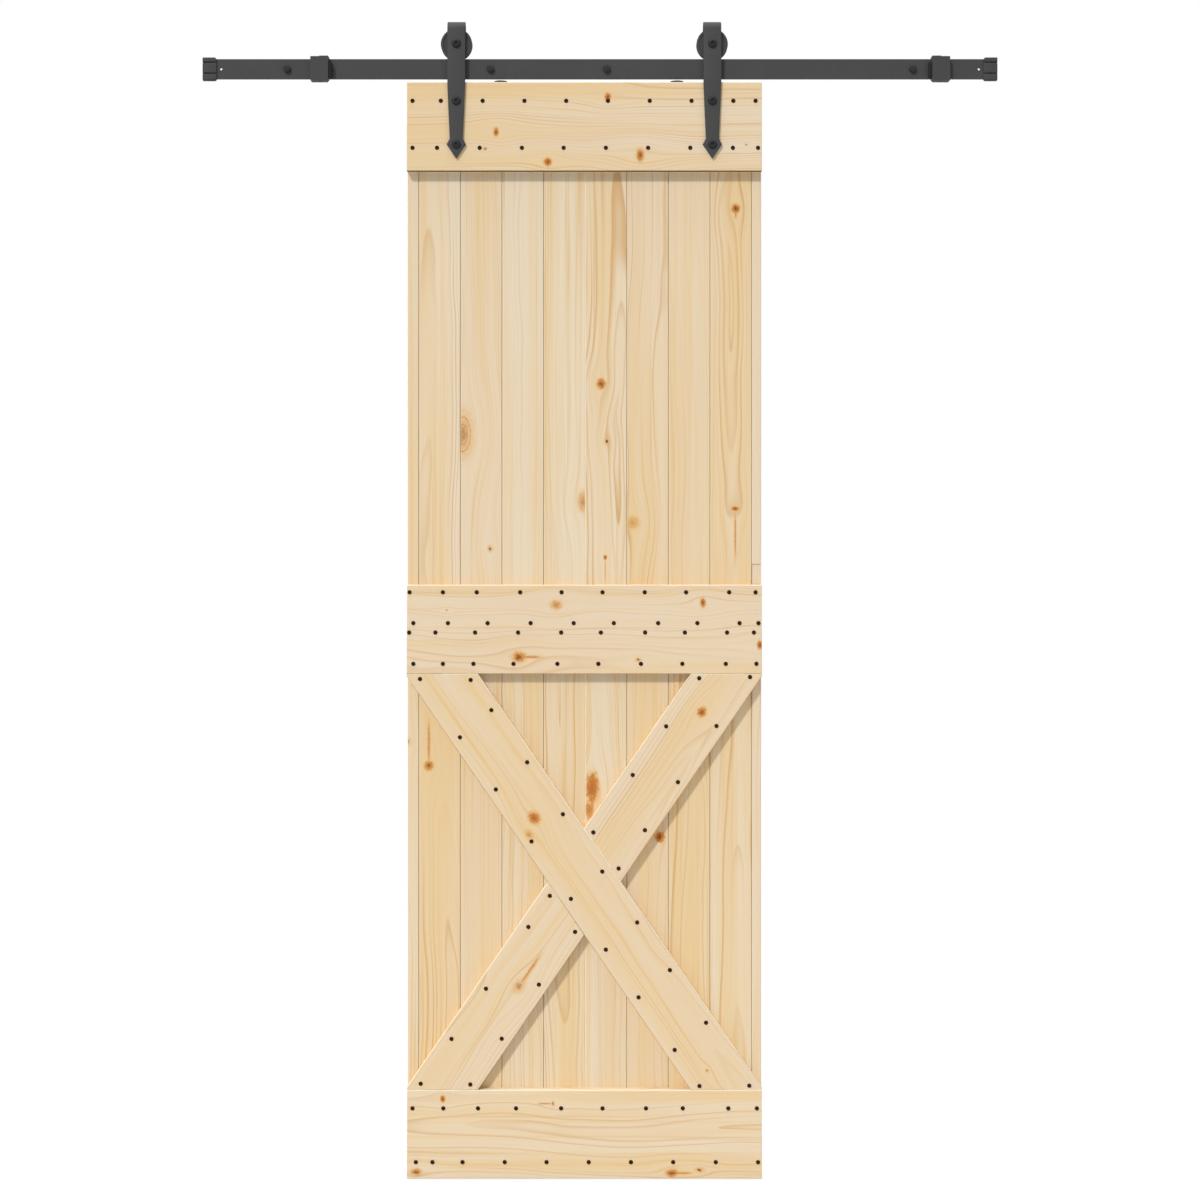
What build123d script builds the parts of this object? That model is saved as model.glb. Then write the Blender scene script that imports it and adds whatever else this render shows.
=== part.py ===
from build123d import *
import os
from math import acos, atan2, cos, hypot, sin

# Sliding barn door: one planked pine leaf with a crossed brace, hung on a flat rail.
# Millimetres. X runs along the rail, +Y points into the wall, +Z is up.
# The origin is on the wall plane, at the middle of the rail and the height of its bolts.

# Rail
rail_overall = 1524.0
rail_height = 38.0
rail_thickness = 6.0
spacer_length = 30.0
spacer_diameter = 22.0
bolt_end_inset = 162.0
bolt_reach_inner = 210.0
bolt_middle_x = 13.0
end_hole_inset = 35.0
end_hole_diameter = 5.0

# Lag bolts through rail and spacers into the wall
lag_thread_diameter = 8.0
lag_shank_diameter = 7.4
lag_embedment = 64.0
lag_tip_length = 8.0
lag_head_across_flats = 13.0
lag_head_height = 5.5
bolt_hole_clearance = 0.3

# End caps
cap_length = 27.0
cap_wall = 3.0
cap_side_wall = 3.2
cap_rib_heights = (10.0, 21.0, 13.4)
cap_rib_radius = 3.0
cap_corner_chamfer = 3.5
cap_groove_share = 0.6

# Stops
stop_left_inset = 242.0
stop_right_inset = 126.4
stop_width = 34.0
stop_below_rail = 4.5
stop_above_rail = 3.2
stop_collar_step = 1.0
stop_front_depth = 13.0
stop_back_depth = 5.0
stop_back_slot = 18.0
stop_chamfer = 4.0
bumper_reach = 6.5
bumper_height = 28.0
bumper_depth = 11.0
bumper_drop = 3.0
bumper_setback = 1.0
bumper_edge_radius = 2.0
set_screw_diameter = 5.0
set_screw_recess = 0.5

# Door leaf
door_width = 680.0
door_height = 2100.0
door_centre_x = -30.0
door_rail_gap = 7.3
wall_gap = 8.5
plank_thickness = 18.0
board_thickness = 17.0
full_planks = 8
left_strip_width = 22.0
right_strip_width = 18.0
plank_seam_drop = 83.0
tongue_length = 6.5
tongue_thickness = 5.6
groove_depth = 7.0
groove_thickness = 6.0
joint_bevel = 1.2
strip_rebate_height = 40.0
strip_rebate_depth = 2.0

# Ledgers and braces
ledger_height = 170.0
mid_ledger_depth = 963.0
brace_width = 115.0
brace_nose = 5.0
board_edge_radius = 1.5

# Wood screws
screw_head_diameter = 8.6
screw_head_height = 1.6
screw_shank_diameter = 4.2
screw_length = 30.0
head_sides = 6
shank_sides = 3

# Hangers
hanger_inset = 95.0
strap_width = 34.0
strap_thickness = 5.0
strap_top_z = 90.5
strap_waist_z = -31.8
strap_neck_z = -135.8
strap_neck_width = 25.0
arrow_width = 37.0
arrow_shoulder_z = -145.8
arrow_tip_z = -172.7
back_leg_end_z = 30.0
hanger_bolt_depths = (36.4, 119.8)
hanger_bolt_diameter = 8.0
hanger_bolt_head_diameter = 17.0
hanger_bolt_head_height = 4.5
hanger_nut_across_flats = 13.0
hanger_nut_height = 5.0
hanger_bolt_past_nut = 1.0

# Wheels and their bearings
wheel_diameter = 60.0
wheel_width = 18.0
groove_depth_on_rail = 2.5
groove_bottom_width = 8.0
groove_mouth_width = 10.0
wheel_rail_clearance = 0.3
bearing_outer_diameter = 26.0
bearing_split_diameter = 15.0
bearing_width = 8.0
bearing_running_gap = 0.05
axle_diameter = 10.0
axle_head_diameter = 17.0
axle_head_height = 5.0
axle_nut_across_flats = 16.0
axle_nut_height = 6.0
axle_end_past_nut = 1.5

# Anti-jump discs on the top of the leaf
disc_diameter = 25.0
disc_thickness = 5.0
disc_left_inset = 179.3
disc_right_inset = 162.2
disc_setback = 3.0
disc_screw_offset = 6.0
disc_screw_diameter = 4.2
disc_screw_head_diameter = 8.0
disc_screw_length = 28.0

# Planes and places that follow from the sizes above
rail_back_y = -spacer_length
rail_front_y = rail_back_y - rail_thickness
rail_centre_y = (rail_back_y + rail_front_y) / 2
rail_top_z = rail_height / 2
rail_length = rail_overall - 2 * cap_wall
bolt_reach_outer = rail_overall / 2 - bolt_end_inset
stop_left_x = -rail_overall / 2 + stop_left_inset
stop_right_x = rail_overall / 2 - stop_right_inset
door_left = door_centre_x - door_width / 2
door_right = door_centre_x + door_width / 2
door_top_z = -rail_height / 2 - door_rail_gap
door_bottom_z = door_top_z - door_height
plank_pitch = (door_width - left_strip_width - right_strip_width) / full_planks
upper_plank_length = mid_ledger_depth + plank_seam_drop
plank_back_y = -wall_gap
plank_front_y = plank_back_y - plank_thickness
board_front_y = plank_front_y - board_thickness
strap_front_y = board_front_y - strap_thickness
leg_gap = 2 * (rail_centre_y - board_front_y)
back_leg_front_y = board_front_y + leg_gap
back_leg_back_y = back_leg_front_y + strap_thickness
tread_radius = wheel_diameter / 2 - groove_depth_on_rail
axle_z = rail_top_z + tread_radius + wheel_rail_clearance
hanger_xs = {"left": door_left + hanger_inset, "right": door_right - hanger_inset}
disc_left_x = door_left + disc_left_inset
disc_right_x = door_right - disc_right_inset
bolt_xs = (-bolt_reach_outer, -bolt_reach_inner, bolt_middle_x, bolt_reach_inner, bolt_reach_outer)
bottom_ledger_depth = door_height - ledger_height
brace_top_z = door_top_z - mid_ledger_depth - ledger_height
brace_bottom_z = door_bottom_z + ledger_height
opening_height = brace_top_z - brace_bottom_z
opening_z = (brace_top_z + brace_bottom_z) / 2

# Rows of screws in the ledgers: how far each row lies below its ledger's top edge.
top_row_drops = (36.0, 126.0)
mid_row_drops = (14.0, 73.0, 91.0, 151.0)
bottom_row_drops = (35.0, 138.0)

# One screw goes into each plank of a row. They were driven by eye, so each wanders sideways from the
# middle of its plank, here in hundredths of the plank pitch, left to right.
top_wander = (
    (0, 4, 4, 4, 4, 4, 4, 4, 4, -4),
    (0, -5, -3, -2, -2, -1, 0, 1, 3, 2),
)
mid_wander = (
    (-7, 9, -10, -6, -7, -9, -8, -9, -6, -4),
    (2, 21, 16, 19, 22, 18, 24, 18, 19, 3),
    (-8, -9, -14, -11, -8, -13, -7, -12, -11, -8),
    (2, 9, -18, -22, -17, -19, -17, -18, -14, -2),
)
bottom_wander = (
    (0, 10, -7, -16, -8, -9, -5, -17, -8, -1),
    (8, -16, -44, -43, -43, -42, -41, -40, -38, 2),
)

# Screws in the braces, in hundredths of the way from the middle of the cross to where their row comes
# within a screw's clearance of the ledgers or of the leaf's side. Minus is upwards.
brace_screw_inset = 18.0
brace_screw_clearance = 6.3
main_upper_row = (-98.5, -82.9, -55.9, -29.0, 0.6, 24.1, 46.1, 70.4, 99.5)
main_lower_row = (-99.1, -72.2, -48.1, -24.1, 2.7, 29.0, 53.7, 80.9, 99.6)
upper_half_upper_row = (-99.4, -74.5, -49.3, -19.6)
upper_half_lower_row = (-100.0, -77.4, -51.5, -29.3, -11.6)
lower_half_upper_row = (11.8, 26.2, 54.7, 77.9, 98.6)
lower_half_lower_row = (19.8, 47.1, 75.1, 98.8)


def bar(x0, x1, y0, y1, z0, z1):
    """A box between two corners."""
    size = (x1 - x0, y1 - y0, z1 - z0)
    return Pos((x0 + x1) / 2, (y0 + y1) / 2, (z0 + z1) / 2) * Box(*size)


def rod(x, z, y0, y1, diameter):
    """A round bar along Y."""
    middle = Pos(x, (y0 + y1) / 2, z) * Rot(X=90)
    return middle * Cylinder(diameter / 2, abs(y1 - y0))


def hexagon(x, z, y0, y1, across_flats):
    """A hexagonal prism along Y, with two flats level."""
    outline = RegularPolygon(across_flats / 2, 6, major_radius=False)
    prism = extrude(outline, amount=abs(y1 - y0))
    return Pos(x, max(y0, y1), z) * Rot(X=90) * prism


def turned(points, x, z):
    """A ring or wheel turned about the Y axis through x, z. Points are (radius, y)."""
    outline = make_face(Polyline([(r, y, 0) for r, y in points], close=True))
    return Pos(x, 0, z) * revolve(outline, Axis.Y, 360)


def column_edges():
    """The left edges of the plank columns and the right side of the leaf."""
    first = door_left + left_strip_width
    inner = [first + i * plank_pitch for i in range(full_planks + 1)]
    return [door_left, *inner, door_right]


def column_centres():
    """The middle of each plank column."""
    edges = column_edges()
    return [(a + b) / 2 for a, b in zip(edges, edges[1:])]


def plank(left, right, top, bottom, has_groove, has_tongue):
    """A tongue-and-groove plank with bevelled joints, drawn in plan and run down."""
    middle = (plank_front_y + plank_back_y) / 2
    tongue = tongue_thickness / 2
    groove = groove_thickness / 2
    points = [(left + joint_bevel, plank_front_y), (right - joint_bevel, plank_front_y)]
    points += [(right, plank_front_y + joint_bevel)]
    if has_tongue:
        points += [(right, middle - tongue), (right + tongue_length, middle - tongue)]
        points += [(right + tongue_length, middle + tongue), (right, middle + tongue)]
    points += [(right, plank_back_y), (left, plank_back_y)]
    if has_groove:
        points += [(left, middle + groove), (left + groove_depth, middle + groove)]
        points += [(left + groove_depth, middle - groove), (left, middle - groove)]
    points += [(left, plank_front_y + joint_bevel)]
    outline = make_face(Polyline(points, close=True))
    return Pos(0, 0, bottom) * extrude(outline, amount=top - bottom)


def board_outline(corners):
    """A flat board on the front of the planks, from its outline in the XZ plane."""
    face = make_face(Polyline(corners, close=True))
    flat = extrude(face, amount=board_thickness)
    return Pos(0, plank_front_y, 0) * Rot(X=90) * flat


def ease_front(board):
    """Round the front edges of a ledger or brace."""
    front = board.faces().sort_by(Axis.Y)[0]
    return board.fillet(board_edge_radius, front.edges())


def ledger(depth):
    """A ledger across the leaf, its top edge at this depth below the top of the leaf."""
    top = door_top_z - depth
    low = top - ledger_height
    return ease_front(board_outline([(door_left, low), (door_right, low), (door_right, top), (door_left, top)]))


def brace_angle():
    """The brace's lean from upright, in radians, which leaves its blunt nose at the leaf's side."""
    reach_x = door_width / 2
    reach_z = opening_height / 2 - brace_nose
    return acos(brace_width / 2 / hypot(reach_x, reach_z)) - atan2(reach_z, reach_x)


def brace_place(along, offset, side):
    """A point on a brace: along it downwards from the cross, and off its centre line upwards."""
    lean = brace_angle()
    x = side * (along * sin(lean) + offset * cos(lean))
    z = -along * cos(lean) + offset * sin(lean)
    return door_centre_x + x, opening_z + z


def brace_strip(side, width):
    """The full strip of a brace, longer than the opening. Side 1 falls to the right, -1 to the left."""
    reach = door_width + opening_height
    ends = [(-reach, -width / 2), (reach, -width / 2), (reach, width / 2), (-reach, width / 2)]
    corners = [brace_place(along, offset, side) for along, offset in ends]
    return board_outline(corners)


def opening_block():
    """The space between the mid and bottom ledgers."""
    return bar(door_left, door_right, board_front_y, plank_front_y, brace_bottom_z, brace_top_z)


def brace_main():
    """The brace that runs in one piece from top left to bottom right."""
    return ease_front((brace_strip(1, brace_width) & opening_block()).solid())


def brace_half(upper):
    """One half of the other brace, butted against the main brace."""
    rest = (brace_strip(-1, brace_width) & opening_block()) - brace_strip(1, brace_width)
    halves = rest.solids().sort_by(Axis.Z)
    return ease_front(halves[-1] if upper else halves[0])


def wood_screw(x, z):
    """A screw driven from the front, its head standing on the board."""
    head = extrude(RegularPolygon(screw_head_diameter / 2, head_sides), amount=screw_head_height)
    shank = extrude(RegularPolygon(screw_shank_diameter / 2, shank_sides), amount=-screw_length)
    return Pos(x, board_front_y, z) * Rot(X=90) * (head + shank)


def screw_rows(ledger_depth, drops, wander):
    """Every screw of a ledger, one in each plank of each row."""
    screws = []
    for drop, row in zip(drops, wander):
        for centre, share in zip(column_centres(), row):
            screws.append(wood_screw(centre + share * plank_pitch / 100, door_top_z - ledger_depth - drop))
    return screws


def brace_row_reach(offset):
    """How far a row of screws at this offset runs down a brace before it comes too near an edge."""
    lean = brace_angle()
    to_ledger = (opening_height / 2 - brace_screw_clearance + offset * sin(lean)) / cos(lean)
    to_side = (door_width / 2 - brace_screw_clearance - offset * cos(lean)) / sin(lean)
    return min(to_ledger, to_side)


def brace_row(side, offset, shares):
    """One row of screws along a brace."""
    down = brace_row_reach(offset) / 100
    up = brace_row_reach(-offset) / 100
    places = [brace_place(share * (down if share > 0 else up), offset, side) for share in shares]
    return [wood_screw(x, z) for x, z in places]


def brace_screws(side, upper_row, lower_row):
    """Two rows of screws along a brace, each set in from its edge."""
    offset = brace_width / 2 - brace_screw_inset
    return brace_row(side, offset, upper_row) + brace_row(side, -offset, lower_row)


def bolt_depth_z(depth):
    """The height of a hanger bolt from its depth below the top of the leaf."""
    return door_top_z - depth


def leaf_drill(x):
    """The holes that one hanger's bolts need in the leaf."""
    bore = hanger_bolt_diameter + 2 * bolt_hole_clearance
    return [rod(x, bolt_depth_z(d), board_front_y, plank_back_y, bore) for d in hanger_bolt_depths]


def drilled(solid):
    """Cut both hangers' holes from a board or plank that they pass through."""
    for x in hanger_xs.values():
        for tool in leaf_drill(x):
            cut = solid - tool
            if cut.volume < solid.volume - 1:
                solid = cut.solid()
    return solid


def hanger_strap(x):
    """The flat bar bent over the wheel, cut to an arrow at its front end."""
    outer = leg_gap / 2 + strap_thickness
    inner = leg_gap / 2
    bend_z = strap_top_z - outer
    blank = bar(x - arrow_width / 2, x + arrow_width / 2, strap_front_y, board_front_y, arrow_tip_z, bend_z)
    blank += bar(x - arrow_width / 2, x + arrow_width / 2, back_leg_front_y, back_leg_back_y, back_leg_end_z, bend_z)
    crown = Pos(x, rail_centre_y, bend_z) * Rot(Y=90) * (
        Cylinder(outer, arrow_width) - Cylinder(inner, arrow_width)
    )
    crown = crown & bar(x - arrow_width, x + arrow_width, strap_front_y, back_leg_back_y, bend_z, strap_top_z)
    half = strap_width / 2
    neck = strap_neck_width / 2
    barb = arrow_width / 2
    right = [(half, strap_top_z), (half, strap_waist_z), (neck, strap_neck_z), (barb, arrow_shoulder_z)]
    left = [(-px, pz) for px, pz in reversed(right)]
    face = make_face(Polyline([*right, (0, arrow_tip_z), *left], close=True))
    profile = Pos(x, 0, 0) * Rot(X=90) * extrude(face, amount=spacer_length + outer * 2 + leg_gap)
    strap = ((blank + crown) & profile).solid()
    bore = axle_diameter + 2 * bolt_hole_clearance
    strap -= rod(x, axle_z, strap_front_y, back_leg_back_y, bore)
    for depth in hanger_bolt_depths:
        hole = hanger_bolt_diameter + 2 * bolt_hole_clearance
        strap -= rod(x, bolt_depth_z(depth), strap_front_y, board_front_y, hole)
    return strap.solid()


def round_head_bolt(x, z, head_diameter, head_height, diameter, end_y):
    """A low round-head bolt, its head on the front of the strap."""
    head = rod(x, z, strap_front_y - head_height, strap_front_y, head_diameter)
    return (head + rod(x, z, strap_front_y, end_y, diameter)).solid()


def nut(x, z, back_y, height, across_flats, bore):
    """A hexagon nut that stands on a back face."""
    body = hexagon(x, z, back_y, back_y + height, across_flats)
    return (body - rod(x, z, back_y, back_y + height, bore)).solid()


def hanger_bolts():
    """The bolts that hold both hangers to the leaf."""
    end = plank_back_y + hanger_nut_height + hanger_bolt_past_nut
    sizes = (hanger_bolt_head_diameter, hanger_bolt_head_height, hanger_bolt_diameter, end)
    return [round_head_bolt(x, bolt_depth_z(d), *sizes) for x in hanger_xs.values() for d in hanger_bolt_depths]


def hanger_nuts():
    """The thin nuts behind the leaf."""
    sizes = (plank_back_y, hanger_nut_height, hanger_nut_across_flats, hanger_bolt_diameter)
    return [nut(x, bolt_depth_z(d), *sizes) for x in hanger_xs.values() for d in hanger_bolt_depths]


def axle_bolts():
    """The bolts that carry the wheels between the straps' legs."""
    end = back_leg_back_y + axle_nut_height + axle_end_past_nut
    sizes = (axle_head_diameter, axle_head_height, axle_diameter, end)
    return [round_head_bolt(x, axle_z, *sizes) for x in hanger_xs.values()]


def axle_nuts():
    """The nuts behind the straps' back legs."""
    sizes = (back_leg_back_y, axle_nut_height, axle_nut_across_flats, axle_diameter)
    return [nut(x, axle_z, *sizes) for x in hanger_xs.values()]


def ring(x, z, y0, y1, inner, outer):
    """A plain ring along Y."""
    return turned([(inner / 2, y0), (outer / 2, y0), (outer / 2, y1), (inner / 2, y1)], x, z)


def bearing_sleeves():
    """The bearings' inner rings, long enough to be clamped between the straps' legs."""
    places = (board_front_y, back_leg_front_y, axle_diameter, bearing_split_diameter)
    return [ring(x, axle_z, *places) for x in hanger_xs.values()]


def bearing_outer(x):
    """The outer ring of the sealed bearing with its shields, pressed into the wheel."""
    y0 = rail_centre_y - bearing_width / 2
    inside = bearing_split_diameter + 2 * bearing_running_gap
    return ring(x, axle_z, y0, y0 + bearing_width, inside, bearing_outer_diameter)


def wheel(x):
    """The grooved wheel, turned from one piece, with a seat for its bearing."""
    rim = wheel_diameter / 2
    seat = bearing_outer_diameter / 2
    front = rail_centre_y - wheel_width / 2
    back = rail_centre_y + wheel_width / 2
    mouth = groove_mouth_width / 2
    floor = groove_bottom_width / 2
    points = [(seat, front), (rim, front), (rim, rail_centre_y - mouth), (tread_radius, rail_centre_y - floor)]
    points += [(tread_radius, rail_centre_y + floor), (rim, rail_centre_y + mouth), (rim, back)]
    points += [(seat, back)]
    return turned(points, x, axle_z)


def disc_screw_y():
    """The disc's screw goes into the ledger, in front of the disc's middle."""
    return disc_centre_y() - disc_screw_offset


def disc_centre_y():
    """The discs lie a little behind the rail's middle plane."""
    return rail_centre_y + disc_setback


def anti_jump_disc(x):
    """A disc close under the rail that keeps the wheels from lifting off."""
    disc = Pos(x, disc_centre_y(), door_top_z + disc_thickness / 2) * Cylinder(disc_diameter / 2, disc_thickness)
    bore = Pos(x, disc_screw_y(), door_top_z + disc_thickness / 2) * Cylinder(disc_screw_diameter / 2, disc_thickness)
    return disc - bore - disc_countersink(x)


def disc_countersink(x):
    """The cone of the disc's screw head, flush with the disc's top."""
    depth = (disc_screw_head_diameter - disc_screw_diameter) / 2
    cone = Cone(disc_screw_diameter / 2, disc_screw_head_diameter / 2, depth)
    return Pos(x, disc_screw_y(), door_top_z + disc_thickness - depth / 2) * cone


def disc_screw(x):
    """The countersunk screw of one anti-jump disc."""
    depth = (disc_screw_head_diameter - disc_screw_diameter) / 2
    top = door_top_z + disc_thickness - depth
    outline = RegularPolygon(disc_screw_diameter / 2, head_sides)
    shank = Pos(x, disc_screw_y(), top) * extrude(outline, amount=-disc_screw_length)
    return (disc_countersink(x) + shank).solid()


def rail():
    """The flat bar with its bolt holes and an open hole near each end."""
    body = bar(-rail_length / 2, rail_length / 2, rail_front_y, rail_back_y, -rail_top_z, rail_top_z)
    for x in bolt_xs:
        body -= rod(x, 0, rail_front_y, rail_back_y, lag_shank_diameter + 2 * bolt_hole_clearance)
    for x in (-rail_overall / 2 + end_hole_inset, rail_overall / 2 - end_hole_inset):
        body -= rod(x, 0, rail_front_y, rail_back_y, end_hole_diameter)
    return body.solid()


def rail_spacers():
    """The tubes that hold the rail off the wall."""
    bore = lag_thread_diameter + 2 * bolt_hole_clearance
    return [ring(x, 0, rail_back_y, 0, bore, spacer_diameter) for x in bolt_xs]


def lag_bolt(x):
    """A lag bolt: hexagon head, plain shank to the wall, then thread with a point."""
    shank = lag_shank_diameter / 2
    thread = lag_thread_diameter / 2
    taper = lag_embedment - lag_tip_length
    points = [(0, rail_front_y), (shank, rail_front_y), (shank, 0), (thread, 0), (thread, taper)]
    points += [(0, lag_embedment)]
    head = hexagon(x, 0, rail_front_y - lag_head_height, rail_front_y, lag_head_across_flats)
    return (turned(points, x, 0) + head).solid()


def end_cap(side):
    """A moulded cap slipped over the end of the rail, with three rounded ribs."""
    end = side * rail_overall / 2
    inner = end - side * cap_length
    total = sum(cap_rib_heights)
    z = total / 2
    depth = rail_thickness + 2 * cap_side_wall
    cap = None
    for height in cap_rib_heights:
        outline = RectangleRounded(depth, height, cap_rib_radius)
        rib = Pos(inner if side > 0 else end, rail_centre_y, z - height / 2) * Rot(Z=90) * Rot(X=90) * extrude(
            outline, amount=cap_length
        )
        cap = rib if cap is None else cap + rib
        z -= height
    lo, hi = min(inner, end), max(inner, end)
    web = depth / 2 - cap_rib_radius * cap_groove_share
    cap += bar(lo, hi, rail_centre_y - web, rail_centre_y + web, -total / 2 + cap_rib_radius, total / 2 - cap_rib_radius)
    mouth = rail_length / 2
    cap -= bar(min(inner, side * mouth), max(inner, side * mouth), rail_front_y, rail_back_y, -rail_top_z, rail_top_z)
    for way in (1, -1):
        c = cap_corner_chamfer
        corner = [(0, 0), (c, 0), (0, c)]
        wedge = extrude(make_face(Polyline(corner, close=True)), amount=depth * 1.5)
        wedge = Rot(X=90) * wedge if way > 0 else mirror(Rot(X=90) * wedge, Plane.XY)
        wedge = wedge if side > 0 else mirror(wedge, Plane.YZ)
        cap -= Pos(inner, rail_centre_y + depth * 0.75, -way * total / 2) * wedge
    return cap.solid()


def stop_block(inner_x, side):
    """A steel stop that hooks round the rail, with a raised collar on its inner half."""
    outer_x = inner_x + side * stop_width
    middle_x = inner_x + side * stop_width / 2
    lo, hi = min(inner_x, outer_x), max(inner_x, outer_x)
    front = rail_front_y - stop_front_depth
    back = rail_back_y + stop_back_depth
    bottom = -rail_top_z - stop_below_rail
    top = rail_top_z + stop_above_rail
    block = bar(lo, hi, front, back, bottom, top)
    collar = (min(inner_x, middle_x), max(inner_x, middle_x))
    block += bar(*collar, front, back, bottom, top + stop_collar_step)
    block -= bar(lo, hi, rail_front_y, rail_back_y, -rail_top_z, rail_top_z)
    block -= bar(lo, hi, rail_back_y, back, -stop_back_slot / 2, stop_back_slot / 2)
    edge = block.edges().filter_by(Axis.Y).sort_by(lambda e: abs(e.center().X - inner_x) + e.center().Z)[0:1]
    block = chamfer(edge, stop_chamfer)
    z = (-rail_top_z + bottom) / 2
    block -= Pos(middle_x, rail_centre_y, z) * Cylinder(set_screw_diameter / 2, stop_below_rail)
    return block.solid()


def stop_bumper(inner_x, side):
    """The rubber pad that meets the hanger's edge."""
    tip_x = inner_x - side * bumper_reach
    lo, hi = min(inner_x, tip_x), max(inner_x, tip_x)
    front = rail_front_y - stop_front_depth + bumper_setback
    pad = bar(lo, hi, front, front + bumper_depth, -bumper_height / 2 - bumper_drop, bumper_height / 2 - bumper_drop)
    tip = pad.faces().sort_by(lambda f: abs(f.center().X - tip_x))[0]
    return fillet(tip.edges(), bumper_edge_radius)


def stop_screw(inner_x, side):
    """The set screw under a stop, tightened against the rail's lower edge."""
    x = inner_x + side * stop_width / 2
    outline = RegularPolygon(set_screw_diameter / 2, head_sides)
    return Pos(x, rail_centre_y, -rail_top_z) * extrude(outline, amount=-(stop_below_rail - set_screw_recess))


def save(name, shape):
    """Write one node, made of one solid or of a list of separate solids."""
    solids = shape if isinstance(shape, list) else [shape]
    whole = solids[0] if len(solids) == 1 else Compound(children=solids)
    export_step(whole, f"parts/{name}.step")


def save_planks():
    """Two tiers of planks, which meet behind the mid ledger."""
    edges = column_edges()
    seam = door_top_z - upper_plank_length
    last = len(edges) - 2
    for i, (left, right) in enumerate(zip(edges, edges[1:])):
        upper = drilled(plank(left, right, door_top_z, seam, i > 0, i < last))
        if i == last:
            step = door_top_z - mid_ledger_depth + strip_rebate_height
            upper -= bar(left, right, plank_front_y, plank_front_y + strip_rebate_depth, seam, step)
            upper = upper.solid()
        save(f"plank_upper_{i + 1:02d}", upper)
        save(f"plank_lower_{i + 1:02d}", plank(left, right, seam, door_bottom_z, i > 0, i < last))


def save_leaf():
    """The boards on the front of the planks and the screws that hold them."""
    save("top_ledger", drilled(ledger(0)))
    save("mid_ledger", ledger(mid_ledger_depth))
    save("bottom_ledger", ledger(bottom_ledger_depth))
    save("brace_main", brace_main())
    save("brace_upper_half", brace_half(True))
    save("brace_lower_half", brace_half(False))
    save("screws_top_ledger", screw_rows(0, top_row_drops, top_wander))
    save("screws_mid_ledger", screw_rows(mid_ledger_depth, mid_row_drops, mid_wander))
    save("screws_bottom_ledger", screw_rows(bottom_ledger_depth, bottom_row_drops, bottom_wander))
    halves = brace_screws(-1, upper_half_upper_row, upper_half_lower_row)
    halves += brace_screws(-1, lower_half_upper_row, lower_half_lower_row)
    save("screws_braces", brace_screws(1, main_upper_row, main_lower_row) + halves)


def save_hangers():
    """The hangers, their fastenings, and the wheels with their bearings."""
    for side, x in hanger_xs.items():
        save(f"hanger_strap_{side}", hanger_strap(x))
        save(f"wheel_{side}", wheel(x))
        save(f"bearing_{side}", bearing_outer(x))
    save("bearing_sleeves", bearing_sleeves())
    save("axle_bolts", axle_bolts())
    save("axle_nuts", axle_nuts())
    save("hanger_bolts", hanger_bolts())
    save("hanger_nuts", hanger_nuts())
    save("anti_jump_discs", [anti_jump_disc(disc_left_x), anti_jump_disc(disc_right_x)])
    save("disc_screws", [disc_screw(disc_left_x), disc_screw(disc_right_x)])


def save_rail():
    """The rail and what is fixed to it."""
    save("rail", rail())
    save("rail_spacers", rail_spacers())
    save("lag_bolts", [lag_bolt(x) for x in bolt_xs])
    save("end_cap_left", end_cap(-1))
    save("end_cap_right", end_cap(1))
    save("stop_block_left", stop_block(stop_left_x, -1))
    save("stop_block_right", stop_block(stop_right_x, 1))
    save("stop_bumper_left", stop_bumper(stop_left_x, -1))
    save("stop_bumper_right", stop_bumper(stop_right_x, 1))
    save("stop_screws", [stop_screw(stop_left_x, -1), stop_screw(stop_right_x, 1)])


os.makedirs("parts", exist_ok=True)
save_planks()
save_leaf()
save_hangers()
save_rail()
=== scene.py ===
"""A sliding barn door on a flat rail: bare pine leaf, ledgers, crossed brace, and dark steel hardware.

Metres, in the frame of the part: X along the rail, +Y into the wall, +Z up, with the origin on the
wall plane at the middle of the rail.
"""

import logging
import math
from collections.abc import Callable
from dataclasses import dataclass, field
from enum import Enum

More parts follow.
